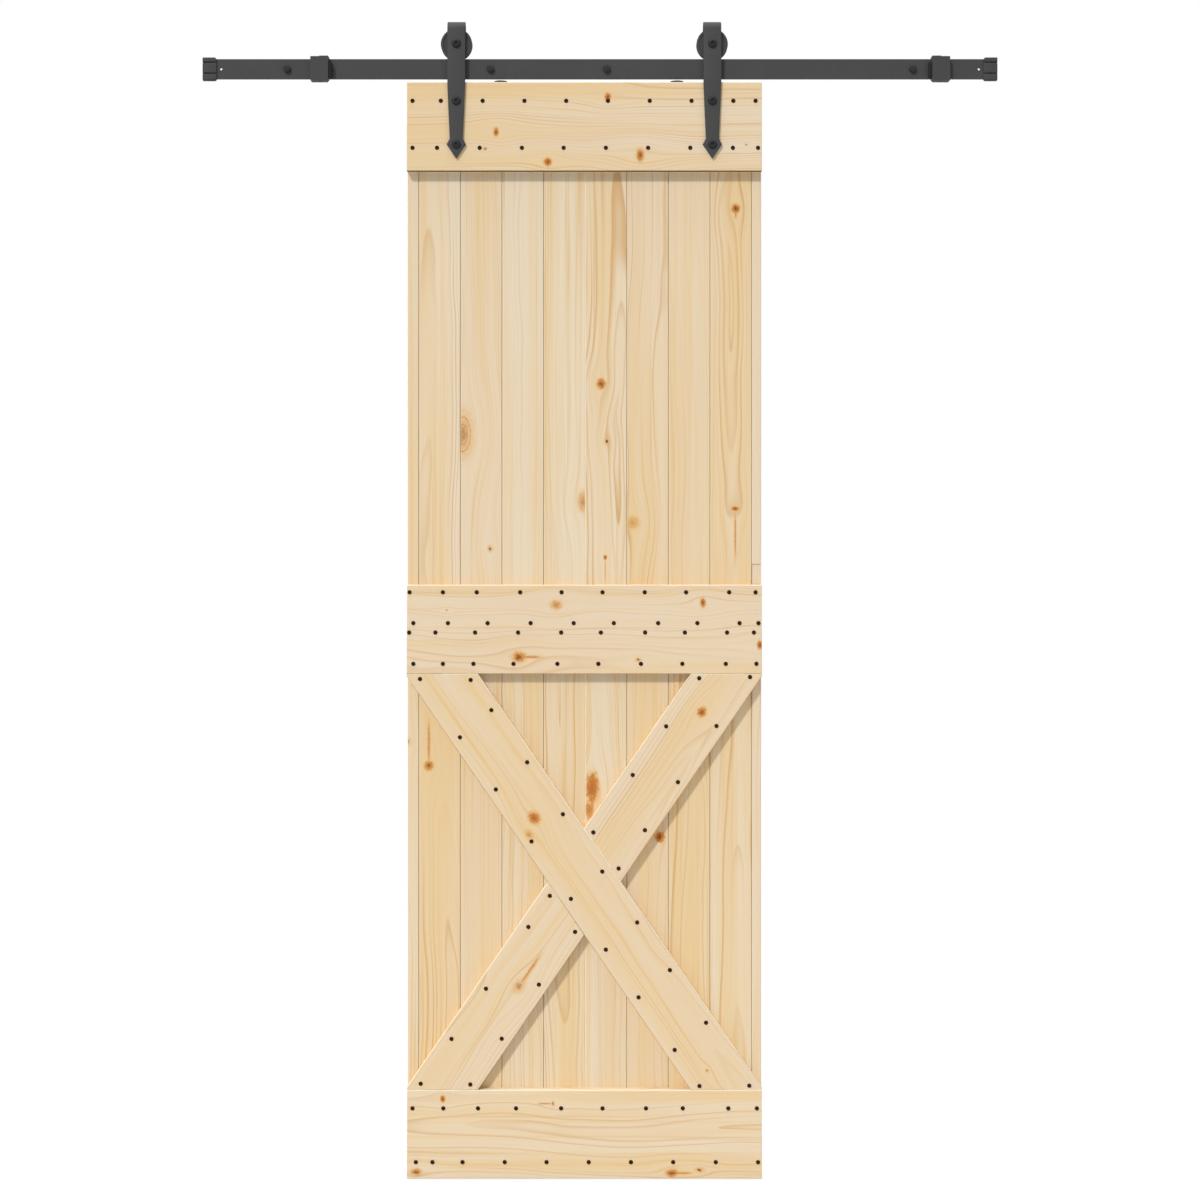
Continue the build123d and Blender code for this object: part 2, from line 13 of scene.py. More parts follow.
import bmesh
import bpy
import numpy as np
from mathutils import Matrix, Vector

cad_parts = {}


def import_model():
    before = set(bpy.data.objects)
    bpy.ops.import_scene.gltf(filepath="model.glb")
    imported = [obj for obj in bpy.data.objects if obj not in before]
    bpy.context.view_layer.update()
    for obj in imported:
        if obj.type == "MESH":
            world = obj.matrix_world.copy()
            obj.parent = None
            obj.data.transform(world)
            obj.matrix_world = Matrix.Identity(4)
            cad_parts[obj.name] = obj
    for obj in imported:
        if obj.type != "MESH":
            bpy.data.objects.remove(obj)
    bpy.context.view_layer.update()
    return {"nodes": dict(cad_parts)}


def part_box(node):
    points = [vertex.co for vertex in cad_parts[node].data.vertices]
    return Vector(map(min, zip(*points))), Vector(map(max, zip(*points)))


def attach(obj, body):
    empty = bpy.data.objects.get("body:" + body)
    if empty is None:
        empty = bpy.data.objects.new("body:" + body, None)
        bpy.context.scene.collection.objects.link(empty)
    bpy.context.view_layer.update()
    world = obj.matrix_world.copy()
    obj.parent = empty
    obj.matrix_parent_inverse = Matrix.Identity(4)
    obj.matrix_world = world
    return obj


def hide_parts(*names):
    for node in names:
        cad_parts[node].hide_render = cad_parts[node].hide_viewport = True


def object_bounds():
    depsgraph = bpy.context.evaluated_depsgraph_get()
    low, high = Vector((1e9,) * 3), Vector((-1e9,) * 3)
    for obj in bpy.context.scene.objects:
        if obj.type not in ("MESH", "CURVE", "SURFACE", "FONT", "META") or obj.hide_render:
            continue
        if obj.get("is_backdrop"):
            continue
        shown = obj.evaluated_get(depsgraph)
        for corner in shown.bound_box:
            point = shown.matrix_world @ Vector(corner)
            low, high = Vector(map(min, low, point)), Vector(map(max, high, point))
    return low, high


log = logging.getLogger("barn_door")
Vec = tuple[float, float, float]
Colour = tuple[float, float, float]
Pair = tuple[float, float]
Shell = tuple[np.ndarray, list]

MM = 0.001


def linear(*screen: float) -> Colour:
    """A colour in linear light from its three screen values of 0 to 255."""
    shares = [value / 255 for value in screen]
    return tuple(v / 12.92 if v <= 0.04045 else ((v + 0.055) / 1.055) ** 2.4 for v in shares)


class Grain(Enum):
    """Which way a board's fibres run: a fixed turn from upright, and how much of the braces' lean."""

    UPRIGHT = (0.0, 0.0)
    LEVEL = (math.pi / 2, 0.0)
    FALLING = (0.0, 1.0)
    RISING = (0.0, -1.0)

    def turn(self, lean: float) -> float:
        """The fibres' turn from upright in radians, for braces that lean so much."""
        return self.value[0] + self.value[1] * lean


def arithmetic(how: str, swapped: bool = False) -> Callable:
    """Makes an operator of Signal.

    Args:
        how: The operation, as Blender names it.
        swapped: True where the signal is the second value.

    Returns:
        The method.
    """
    def step(self: "Signal", other: object) -> "Signal":
        """One step of arithmetic."""
        return self.graph.math(how, *((other, self) if swapped else (self, other)))

    return step


class Signal:
    """A number or colour that a node tree works out, so that a formula reads as one."""

    __add__ = __radd__ = arithmetic("ADD")
    __sub__ = arithmetic("SUBTRACT")
    __rsub__ = arithmetic("SUBTRACT", swapped=True)
    __mul__ = __rmul__ = arithmetic("MULTIPLY")
    __truediv__ = arithmetic("DIVIDE")
    __pow__ = arithmetic("POWER")

    def __init__(self, graph: "NodeGraph", socket: bpy.types.NodeSocket) -> None:
        """Ties an output to its graph."""
        self.graph = graph
        self.socket = socket


class NodeGraph:
    """The node tree of a material or world, written as formulas."""

    def __init__(self, owner: bpy.types.ID) -> None:
        """Empties a node tree.

        Args:
            owner: The material or world that it belongs to.
        """
        self.owner = owner
        owner.use_nodes = True
        self.tree = owner.node_tree
        self.tree.nodes.clear()

    def node(self, kind: str, inputs: dict | None = None, **settings: object) -> bpy.types.Node:
        """Adds a node.

        Args:
            kind: The node's type name in Blender.
            inputs: What its sockets are linked or set to, by name or number.
            settings: Its plain properties, by name.

        Returns:
            The new node.
        """
        made = self.tree.nodes.new(kind)
        for key, value in settings.items():
            setattr(made, key, value)
        for key, value in (inputs or {}).items():
            self.plug(made.inputs[key], value)
        return made

    def plug(self, socket: bpy.types.NodeSocket, value: object) -> None:
        """Links a signal, an output or a node's first output to a socket, or sets a number or colour.

        Args:
            socket: The input.
            value: What it takes.
        """
        if isinstance(value, Signal):
            value = value.socket
        if isinstance(value, bpy.types.Node):
            value = value.outputs[0]
        if isinstance(value, bpy.types.NodeSocket):
            self.tree.links.new(value, socket)
        else:
            socket.default_value = (*value, 1.0) if isinstance(value, tuple) else value

    def math(self, how: str, *values: object) -> Signal:
        """One step of arithmetic, named as Blender does, on numbers or signals."""
        return Signal(self, self.node("ShaderNodeMath", dict(enumerate(values)), operation=how).outputs[0])

    def noise(self, place: object, scale: float = 1.0, detail: float = 2.0, rough: float = 0.5) -> Signal:
        """Smooth noise.

        Args:
            place: Where, as an output or three numbers or signals.
            scale: How fine it is.
            detail: How many layers it has.
            rough: How strong the finer layers are.

        Returns:
            The noise, from 0 to 1.
        """
        if isinstance(place, tuple):
            place = self.node("ShaderNodeCombineXYZ", dict(enumerate(place)))
        inputs = {"Vector": place, "Scale": scale, "Detail": detail, "Roughness": rough}
        return Signal(self, self.node("ShaderNodeTexNoise", inputs).outputs["Fac"])

    def ramp(self, value: Signal, low: float, high: float) -> Signal:
        """A smooth step from 0 at low to 1 at high."""
        inputs = dict(enumerate((value, low, high, 0.0, 1.0)))
        return Signal(self, self.node("ShaderNodeMapRange", inputs,
                                      interpolation_type="SMOOTHSTEP").outputs[0])

    def mix(self, share: object, first: object, second: object) -> Signal:
        """Two colours mixed, from the first at a share of 0 to the second at 1."""
        made = self.node("ShaderNodeMix", {0: share, 6: first, 7: second}, data_type="RGBA")
        return Signal(self, made.outputs[2])

    def finish(self, colour: Signal, roughness: Signal, height: Signal, depth: float, specular: float,
               metallic: float = 0.0) -> bpy.types.Material:
        """Ends a material's tree with a shader.

        Args:
            colour: Its base colour.
            roughness: Its roughness.
            height: The height of its bumps, from 0 to 1.
            depth: The bumps' depth in metres.
            specular: The shader's specular level.
            metallic: 1 for bare metal.

        Returns:
            The material.
        """
        bump = self.node("ShaderNodeBump", {"Strength": 1.0, "Distance": depth, "Height": height})
        shader = self.node("ShaderNodeBsdfPrincipled", {
            "Base Color": colour, "Roughness": roughness, "Metallic": metallic,
            "Specular IOR Level": specular, "Normal": bump})
        self.node("ShaderNodeOutputMaterial", {"Surface": shader})
        return self.owner


@dataclass(frozen=True)
class Knot:
    """A knot on the face of a board.

    Attributes:
        x: Its place along X.
        z: Its height.
        radius: The radius of its heart.
        warmth: How orange its halo is, 0 to 1.
        stretch: How much longer it is along the grain than across.
        tail: The length of the resin streak that runs from it along the grain, minus for the other way.
        whorl: How clearly its own rings show, 0 to 1.
        dark: How dark its heart is, 0 to 1.
    """

    x: float
    z: float
    radius: float
    warmth: float
    stretch: float
    tail: float
    whorl: float
    dark: float


@dataclass(frozen=True)
class KnotForm:
    """What all knots have in common. Lengths named as shares are shares of the heart's radius.

    Attributes:
        noise: The scale, detail and roughness of the noise that frays them.
        fray: How far the noise moves their outline, as a share.
        core: Where the heart starts to fade and where it ends, as shares.
        halo: The same for the halo.
        wobble: How far their own rings wander, in metres.
        turns: How closely their own rings follow each other, in radians a metre.
        fineness: How thin those rings are.
        whorl: Where those rings start to fade and where they end, as shares.
        tail_width: The resin streak's width, as a share.
        tail_strength: The streak's strength.
        spread: How far the grain bends round them, as a share.
        drawn: How much further the bend reaches along the grain, squared.
        bending: How strongly the grain bends, 0 to 1.
    """

    noise: Vec = (300.0, 4.0, 0.7)
    fray: float = 2.6
    core: Pair = (0.25, 0.95)
    halo: Pair = (0.9, 2.6)
    wobble: float = 0.004
    turns: float = 520.0
    fineness: float = 5.0
    whorl: Pair = (1.2, 2.4)
    tail_width: float = 0.55
    tail_strength: float = 0.8
    spread: float = 5.0
    drawn: float = 3.5
    bending: float = 0.92

    def marks(self, graph: NodeGraph, knot: Knot, across: Signal, along: Signal, seed: float) -> tuple:
        """One knot's marks in the wood.

        The distance from the knot, frayed by noise, gives heart and halo. Rings of its own are a sine of
        that distance, the resin streak is exp(-(across / width)² - (along / length)⁴), and the grain is
        pushed aside by across · exp(-(distance / reach)²).

        Args:
            graph: The material being written.
            knot: The knot.
            across: Distance from it across the grain.
            along: Distance from it along the grain.
            seed: The board's seed.

        Returns:
            Its heart, its halo and its push.
        """
        flat = along / knot.stretch
        away = graph.math("SQRT", across * across + flat * flat)
        wander = graph.noise((across, flat, seed + knot.x), *self.noise) - 0.5
        ragged = away + wander * (knot.radius * self.fray)
        core = 1.0 - graph.ramp(ragged, knot.radius * self.core[0], knot.radius * self.core[1])
        halo = 1.0 - graph.ramp(ragged, knot.radius * self.halo[0], knot.radius * self.halo[1])
        halo = graph.math("MAXIMUM", halo, core) * knot.warmth
        if knot.whorl:
            even = away + wander * self.wobble
            near = 1.0 - graph.ramp(even, knot.radius * self.whorl[0], knot.radius * self.whorl[1])
            lines = graph.math("ABSOLUTE", graph.math("SINE", even * self.turns)) ** self.fineness
            halo = graph.math("MAXIMUM", halo, lines * near * knot.whorl)
        if knot.tail:
            length = graph.math("ABSOLUTE", (along - knot.tail / 2) / (abs(knot.tail) / 2))
            thin = (across + wander * knot.radius) / (knot.radius * self.tail_width)
            streak = graph.math("EXPONENT", (thin * thin + length ** 4.0) * -1.0)
            halo = graph.math("MAXIMUM", halo, streak * self.tail_strength)
        reach = knot.radius * self.spread
        far = (across * across + along * along / self.drawn) / (-reach * reach)
        return core * knot.dark, halo, across * graph.math("EXPONENT", far)


@dataclass(frozen=True)
class Pattern:
    """Noise drawn out along the fibres, and how it tints the wood.

    Attributes:
        across: Its scale across the fibres.
        along: Its scale along them.
        shift: What parts one board's noise from another's.
        low: The noise at which the tint starts.
        high: The noise at which it is full.
        share: The full tint, 0 to 1.
        detail: How many layers it has.
        rough: How strong the finer layers are.
    """

    across: float
    along: float
    shift: float
    low: float
    high: float
    share: float
    detail: float = 2.0
    rough: float = 0.5

    def tint(self, graph: NodeGraph, u: Signal, v: Signal, seed: float) -> Signal:
        """How much it tints the wood at a place across and along a board."""
        place = (u * self.across, v * self.along, seed * self.shift)
        return graph.ramp(graph.noise(place, 1.0, self.detail, self.rough), self.low, self.high) * self.share


@dataclass(frozen=True)
class Pine:
    """Bare planed pine: its colours, and the patterns that mix them.

    Attributes:
        pale: Plain wood.
        yellow: Golden wood.
        pink: Rosy wood.
        late: The dark part of a year ring.
        knot: A knot's heart.
        halo: A knot's halo near its heart.
        amber: A knot's halo farther out.
        seam: Painted shade in the joint between planks.
        under: Painted shade on the lower edges of ledgers and braces, and on most of a ledger's underside.
        eased: A painted highlight on the edges that face the light.
        gold: What is added to a board's tone where no pattern adds gold.
        relief: The depth of its fibres and rings.
        sheen: The shader's specular level.
        band, streak, thread: The patterns that add gold.
        cloud: The pattern that adds pink.
        dark_streak: The pattern that adds late wood.
    """

    pale: Colour = linear(231, 215, 188)
    yellow: Colour = linear(230, 201, 153)
    pink: Colour = linear(227, 200, 168)
    late: Colour = linear(207, 161, 102)
    knot: Colour = linear(104, 54, 20)
    halo: Colour = linear(192, 112, 42)
    amber: Colour = linear(222, 168, 84)
    seam: Colour = linear(122, 94, 66)
    under: Colour = linear(46, 31, 17)
    eased: Colour = linear(252, 242, 220)
    gold: float = -0.38
    relief: float = 0.00012
    sheen: float = 0.25
    band: Pattern = Pattern(26.0, 0.7, 2.3, 0.34, 0.70, 0.75)
    streak: Pattern = Pattern(95.0, 1.1, 1.7, 0.45, 0.75, 0.50, 3.0, 0.6)
    thread: Pattern = Pattern(260.0, 1.6, 2.9, 0.50, 0.72, 0.35)
    cloud: Pattern = Pattern(9.0, 2.4, 3.7, 0.48, 0.75, 0.30)
    dark_streak: Pattern = Pattern(95.0, 1.1, 1.7, 0.58, 0.80, 0.50, 3.0, 0.6)


@dataclass
class Board:
    """One pine board and the log that it was sawn from.

    Attributes:
        node: The CAD node's name.
        grain: Which way its fibres run.
        heart: How far across the board's middle the log's heart lies.
        under: How deep behind the face the log's heart lies.
        spacing: The width of a year ring.
        taper: How fast the heart nears the face along the board.
        tone: 0 for pale, 1 for warm.
        blush: A pink tint, 0 to 1.
        contrast: How dark the rings' late wood is.
        seed: Chooses the board's own wobble.
        knots: The knots on it.
        lean: A brace's lean from upright, in radians.
        brace_width: The width of a brace, square to its fibres.
        fade: How much warmer the wood grows in a metre along the fibres.
        painted_lit_joint: True for a plank whose right joint gets a painted highlight instead of painted
            shade.
    """

    node: str
    grain: Grain
    heart: float
    under: float
    spacing: float
    taper: float
    tone: float
    blush: float
    contrast: float
    seed: float
    knots: list[Knot] = field(default_factory=list)
    lean: float = 0.0
    brace_width: float = 0.115
    fade: float = 0.0
    painted_lit_joint: bool = False

    def __post_init__(self) -> None:
        """Reads the board's box from its CAD piece."""
        self.low, self.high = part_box(self.node)

    def along_grain(self, x: object, z: object) -> tuple:
        """Where a place lies in the board's own directions.

        Args:
            x: The place along X, as a number or a signal.
            z: Its height, as a number or a signal.

        Returns:
            Its distances from the board's middle, across and along the fibres.
        """
        right = x - (self.low.x + self.high.x) / 2
        up = z - (self.low.z + self.high.z) / 2
        turn = self.grain.turn(self.lean)
        return (right * math.cos(turn) + up * math.sin(turn), up * math.cos(turn) - right * math.sin(turn))

    def material(self, pine: Pine, form: KnotForm) -> bpy.types.Material:
        """Writes the board's material, from its rings, its patterns, its knots and its edges.

        Args:
            pine: The wood's colours and patterns.
            form: What all knots have in common.

        Returns:
            The material.
        """
        graph = NodeGraph(bpy.data.materials.new("pine_" + self.node))
        place = graph.node("ShaderNodeTexCoord").outputs["Object"]
        parts = graph.node("ShaderNodeSeparateXYZ", {0: place}).outputs
        x, y, z = (Signal(graph, part) for part in parts)
        straight, v = self.along_grain(x, z)
        depth = y - self.low.y
        hearts = halos = push = 0.0
        for knot in self.knots:
            knot_u, knot_v = self.along_grain(knot.x, knot.z)
            heart, halo, aside = form.marks(graph, knot, straight - knot_u, v - knot_v, self.seed)
            hearts = graph.math("MAXIMUM", heart, hearts)
            halos = graph.math("MAXIMUM", halo, halos)
            push = aside + push
        u = straight - push * form.bending
        ring = self.rings(graph, u, v, depth)
        fine, drawn, deep = 900.0, 14.0, 300.0
        fibre = graph.noise((u * fine, v * drawn, depth * deep), 1.0, 3.0, 0.6)
        gold = v * self.fade + (self.tone + pine.gold)
        for pattern in (pine.band, pine.streak, pine.thread):
            gold = gold + pattern.tint(graph, u, v, self.seed)
        cloud = pine.cloud.tint(graph, u, v, self.seed)
        dark = pine.dark_streak.tint(graph, u, v, self.seed)
        layers = [(self.blush, pine.pink), (gold, pine.yellow), (cloud, pine.pink),
                  (ring * self.contrast, pine.late), (dark, pine.late),
                  (graph.ramp(fibre, 0.55, 0.8) * 0.12, pine.late)]
        if self.knots:
            halos = graph.math("MAXIMUM", halos, hearts)
            layers += [(halos, pine.amber), (graph.ramp(halos, 0.4, 1.0) * 0.9, pine.halo),
                       (hearts * 0.9, pine.knot)]
        base = pine.pale
        for share, colour in layers:
            base = graph.mix(share, base, colour)
        # Painted highlights and painted shade at the edges and joints.
        base = self.edges(graph, pine, base, straight, depth)
        roughness = fibre * 0.18 + 0.55
        relief = fibre * 0.5 + ring * 0.5
        return graph.finish(base, roughness, relief, pine.relief, pine.sheen)

    def rings(self, graph: NodeGraph, u: Signal, v: Signal, depth: Signal) -> Signal:
        """The year rings on the sawn face.

        They are circles round the log's heart, which wobbles and nears the face along the board. The
        distance from it, divided by a ring's width, counts the years. Each year darkens slowly and then
        ends sharply. Some years are strong and some hardly show.

        Args:
            graph: The material being written.
            u: Distance across the board.
            v: Distance along it.
            depth: Distance behind its face.

        Returns:
            0 in early wood, up to 1 in late wood.
        """
        slow_sway, quick_sway, deep_sway, uneven = 0.05, 0.016, 0.02, 2.6
        late_starts, late_ends, weakest = 0.3, 0.9, 0.08
        slow = graph.noise((self.seed * 3.1, v * 2.2, self.seed), 1.0, 1.0) - 0.5
        quick = graph.noise((u * 9.0, v * 3.0, self.seed)) - 0.5
        side = u - self.heart + slow * slow_sway + quick * quick_sway
        back = v * self.taper + self.under + (quick * deep_sway + depth)
        years = graph.math("SQRT", side * side + back * back) / self.spacing
        years = years + graph.noise((years, 0.0, self.seed), 0.35, 1.0) * uneven
        season = graph.math("FRACT", years)
        late = graph.ramp(season, late_starts, late_ends) ** 2.0 * (1.0 - graph.ramp(season, late_ends, 1.0))
        strong = graph.noise((graph.math("FLOOR", years), v * 1.3, self.seed), 0.9, 1.0)
        return late * (graph.ramp(strong, 0.44, 0.68) * (1.0 - weakest) + weakest)

    def edges(self, graph: NodeGraph, pine: Pine, base: Signal, u: Signal, depth: Signal) -> Signal:
        """Painted highlights on upper edges and plank left edges, painted shade on lower edges and
        undersides, and on planks painted shade in the joint.

        Args:
            graph: The material being written.
            pine: The wood's colours.
            base: The colour so far.
            u: Distance across the board.
            depth: Distance behind its face.

        Returns:
            The colour.
        """
        skin, bright, fading, gone, step = 0.00005, 0.0004, 0.0012, 0.0018, 0.001
        # The rounded-edge band just behind the face, where painted highlights and painted shade go.
        eased = graph.ramp(depth, skin, bright) - graph.ramp(depth, fading, gone)
        if self.grain is Grain.UPRIGHT:
            right = graph.ramp(u, 0.0, step)
            # Painted highlight on each plank's left edge.
            base = graph.mix((eased - right) * 0.6, base, pine.eased)
            # A listed plank gets a painted highlight on its right edge; the others get painted shade in the
            # joint.
            if self.painted_lit_joint:
                return graph.mix(eased * right * 0.6, base, pine.eased)
            # Painted shade in the joint on each plank's right edge, in the band just behind the face.
            painted_shade_band = graph.ramp(depth, skin, 0.0003) * (1.0 - graph.ramp(depth, 0.0014, 0.003))
            return graph.mix(painted_shade_band * right * 0.95, base, pine.seam)
        level = self.grain is Grain.LEVEL
        half = (self.high.z - self.low.z if level else self.brace_width) / 2
        # Painted shade under the lower edge: deep into the underside on ledgers, only the rounded edge on
        # braces.
        end = 0.014 if level else 0.004
        upward = u * (-1.0 if self.grain is Grain.RISING else 1.0)
        rim = graph.ramp(upward * -1.0, half - 0.004, half - 0.002)
        line = graph.ramp(depth, 0.0002, 0.0012) - graph.ramp(depth, end * 0.7, end)
        # Painted highlight on the upper edge of ledgers and braces.
        base = graph.mix(eased * graph.ramp(upward, 0.0, step), base, pine.eased)
        return graph.mix(line * rim, base, pine.under)

    def dress(self, pine: Pine, form: KnotForm, nodes: dict) -> None:
        """Gives the board's CAD piece its own wood.

        Args:
            pine: The wood's colours and patterns.
            form: What all knots have in common.
            nodes: The CAD nodes by name.
        """
        mesh = nodes[self.node].data
        mesh.materials.clear()
        mesh.materials.append(self.material(pine, form))
        log.info("dressed %s", self.node)


def tie(piece: bpy.types.Object, body: str, node: str) -> None:
    """Links a piece to the scene and ties it to the part.

    Args:
        piece: The piece.
        body: The body that it rides on.
        node: The CAD node that it replaces.
    """
    bpy.context.scene.collection.objects.link(piece)
    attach(piece, body)
    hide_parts(node)
    log.info("made %s for %s", piece.name, node)


class Surfaces:
    """Closed meshes worked out with numpy."""

    @staticmethod
    def piece(name: str, shell: Shell, coat: bpy.types.Material, body: str, node: str, slot: str,
              sharp: float = 32.0) -> None:
        """Makes a piece of points and faces, merges its doubles and turns its faces outwards.

        Args:
            name: The piece's name.
            shell: Its points as an array of shape (n, 3), and its faces as tuples of point numbers.
            coat: Its finish.
            body: The body that it rides on.
            node: The CAD node that it replaces.
            slot: Not used.
            sharp: The angle in degrees past which an edge stays sharp.
        """
        points, faces = shell
        data = bpy.data.meshes.new(name)
        data.from_pydata(points.tolist(), [], [tuple(int(i) for i in face) for face in faces])
        data.validate()
        data.update()
        data.materials.append(coat)
        data.shade_smooth()
        data.set_sharp_from_angle(angle=math.radians(sharp))
        shape = bmesh.new()
        shape.from_mesh(data)
        bmesh.ops.remove_doubles(shape, verts=shape.verts, dist=1e-7)
        bmesh.ops.recalc_face_normals(shape, faces=shape.faces)
        shape.to_mesh(data)
        shape.free()
        data.update()
        tie(bpy.data.objects.new(name, data), body, node)

    @staticmethod
    def angles(sides: int) -> np.ndarray:
        """Even steps once round, in radians."""
        return np.linspace(0, 2 * math.pi, sides, endpoint=False)

    @staticmethod
    def hexagon(angle: np.ndarray, flats: float) -> np.ndarray:
        """A hexagon's radius at each angle: flats / 2 / cos((angle mod 60°) - 30°)."""
        return flats / 2 / np.cos(angle % (math.pi / 3) - math.pi / 6)

    @staticmethod
    def rings(place: Pair, rows: list, sides: int) -> np.ndarray:
        """Rings about an axis along Y, whose points are (x + r·cos a, y, z + r·sin a).

        Args:
            place: The axis, as x and z.
            rows: Pairs of y and radius, each one number or an array with a number for each angle.
            sides: The number of points in a ring.

        Returns:
            An array of shape (rings, sides, 3).
        """
        angle = Surfaces.angles(sides)
        return np.array([np.stack([place[0] + radius * np.cos(angle), np.broadcast_to(y, sides),
                                   place[1] + radius * np.sin(angle)], axis=-1) for y, radius in rows])

    @staticmethod
    def quads(rows: int, sides: int, closed: bool = False) -> list:
        """Four-sided faces between neighbouring rings.

        Args:
            rows: The number of rings.
            sides: The number of points in a ring.
            closed: True to join the last ring to the first.

        Returns:
            The faces.
        """
        i, j = np.meshgrid(np.arange(rows if closed else rows - 1), np.arange(sides), indexing="ij")
        here, after, right = i * sides, (i + 1) % rows * sides, (j + 1) % sides
        corners = np.stack([here + j, after + j, after + right, here + right], axis=-1)
        return [tuple(quad) for quad in corners.reshape(-1, 4)]

    @staticmethod
    def turned(profile: list[Pair], centre: Pair, sides: int, closed: bool = False) -> Shell:
        """A profile turned about an axis along Y.

        A profile that starts and ends on the axis is closed there by fans of triangles, and a closed
        profile makes a ring.

        Args:
            profile: Pairs of radius and y, from the front (lowest y) to the back.
            centre: The axis, as x and z.
            sides: The number of steps round.
            closed: True for a ring.

        Returns:
            Points and faces.
        """
        body = profile if closed else profile[1:-1]
        points = Surfaces.rings(centre, [(y, radius) for radius, y in body], sides).reshape(-1, 3)
        faces = Surfaces.quads(len(body), sides, closed)
        if not closed:
            points = np.vstack([points, [[centre[0], profile[p][1], centre[1]] for p in (0, -1)]])
            first, last = len(points) - 2, len(points) - 1
            base = (len(body) - 1) * sides
            faces += [(first, k, (k + 1) % sides) for k in range(sides)]
            faces += [(last, base + (k + 1) % sides, base + k) for k in range(sides)]
        return points, faces

    @staticmethod
    def joined(parts: list[Shell]) -> Shell:
        """Several meshes as one, with their faces renumbered.

        Args:
            parts: The meshes.

        Returns:
            Points and faces.
        """
        points, faces, start = [], [], 0
        for some, their in parts:
            points.append(some)
            faces += [tuple(i + start for i in face) for face in their]
            start += len(some)
        return np.vstack(points), faces

    @staticmethod
    def loft(rings: np.ndarray) -> Shell:
        """Closed rings joined one after another, with flat polygons over both ends.

        Args:
            rings: An array of shape (rings, points, 3), each ring in the same order.

        Returns:
            Points and faces.
        """
        count, size = rings.shape[:2]
        faces = [(a, d, c, b) for a, b, c, d in Surfaces.quads(count, size)]
        faces.append(tuple(range(size - 1, -1, -1)))
        faces.append(tuple((count - 1) * size + k for k in range(size)))
        return rings.reshape(-1, 3), faces


@dataclass(frozen=True)
class Coat:
    """A dark coat on steel, plastic or rubber.

    Attributes:
        name: The material's name.
        colour: Its colour in linear light.
        roughness: How matt it is.
        texture: The depth of its fine texture in metres.
        scale: The texture's scale.
        metallic: 1 for bare metal.
        specular: The shader's specular level.
    """

    name: str
    colour: Colour
    roughness: float
    texture: float = 0.00006
    scale: float = 1800.0
    metallic: float = 0.0
    specular: float = 0.5

    def material(self) -> bpy.types.Material:
        """Writes the coat: an even colour with a fine grain in its height and gloss.

        Returns:
            The material.
        """
        graph = NodeGraph(bpy.data.materials.new(self.name))
        place = graph.node("ShaderNodeTexCoord").outputs["Object"]
        fine = graph.noise(place, self.scale)
        worn = tuple(channel * 1.18 for channel in self.colour)
        wear = graph.ramp(graph.noise(place, 14.0), 0.4, 0.7) * 0.5
        rough = fine * 0.16 + (self.roughness - 0.08)
        return graph.finish(graph.mix(wear, self.colour, worn), rough, fine, self.texture, self.specular,
                            self.metallic)


@dataclass
class Finishes:
    """Every coat of the hardware, made once."""

    steel: bpy.types.Material
    fastener: bpy.types.Material
    wheel: bpy.types.Material
    cap: bpy.types.Material
    rubber: bpy.types.Material
    bearing: bpy.types.Material
    screw: bpy.types.Material

    @classmethod
    def build(cls) -> "Finishes":
        """Makes the materials."""
        return cls(
            steel=Coat("powder_coat", linear(61, 61, 61), 0.62, specular=0.3).material(),
            fastener=Coat("black_bolts", linear(40, 40, 41), 0.6, 0.00003, specular=0.2).material(),
            wheel=Coat("wheel_coat", linear(60, 60, 60), 0.6, 0.00003, specular=0.3).material(),
            cap=Coat("moulded_cap", linear(60, 60, 60), 0.65, 0.00005, 2600.0, specular=0.3).material(),
            rubber=Coat("black_rubber", linear(28, 28, 28), 0.8, 0.00004, specular=0.25).material(),
            bearing=Coat("bearing_steel", linear(150, 150, 152), 0.32, 0.00001, metallic=1.0).material(),
            screw=Coat("black_screws", linear(58, 40, 28), 0.7, 0.00001, specular=0.05).material(),
        )


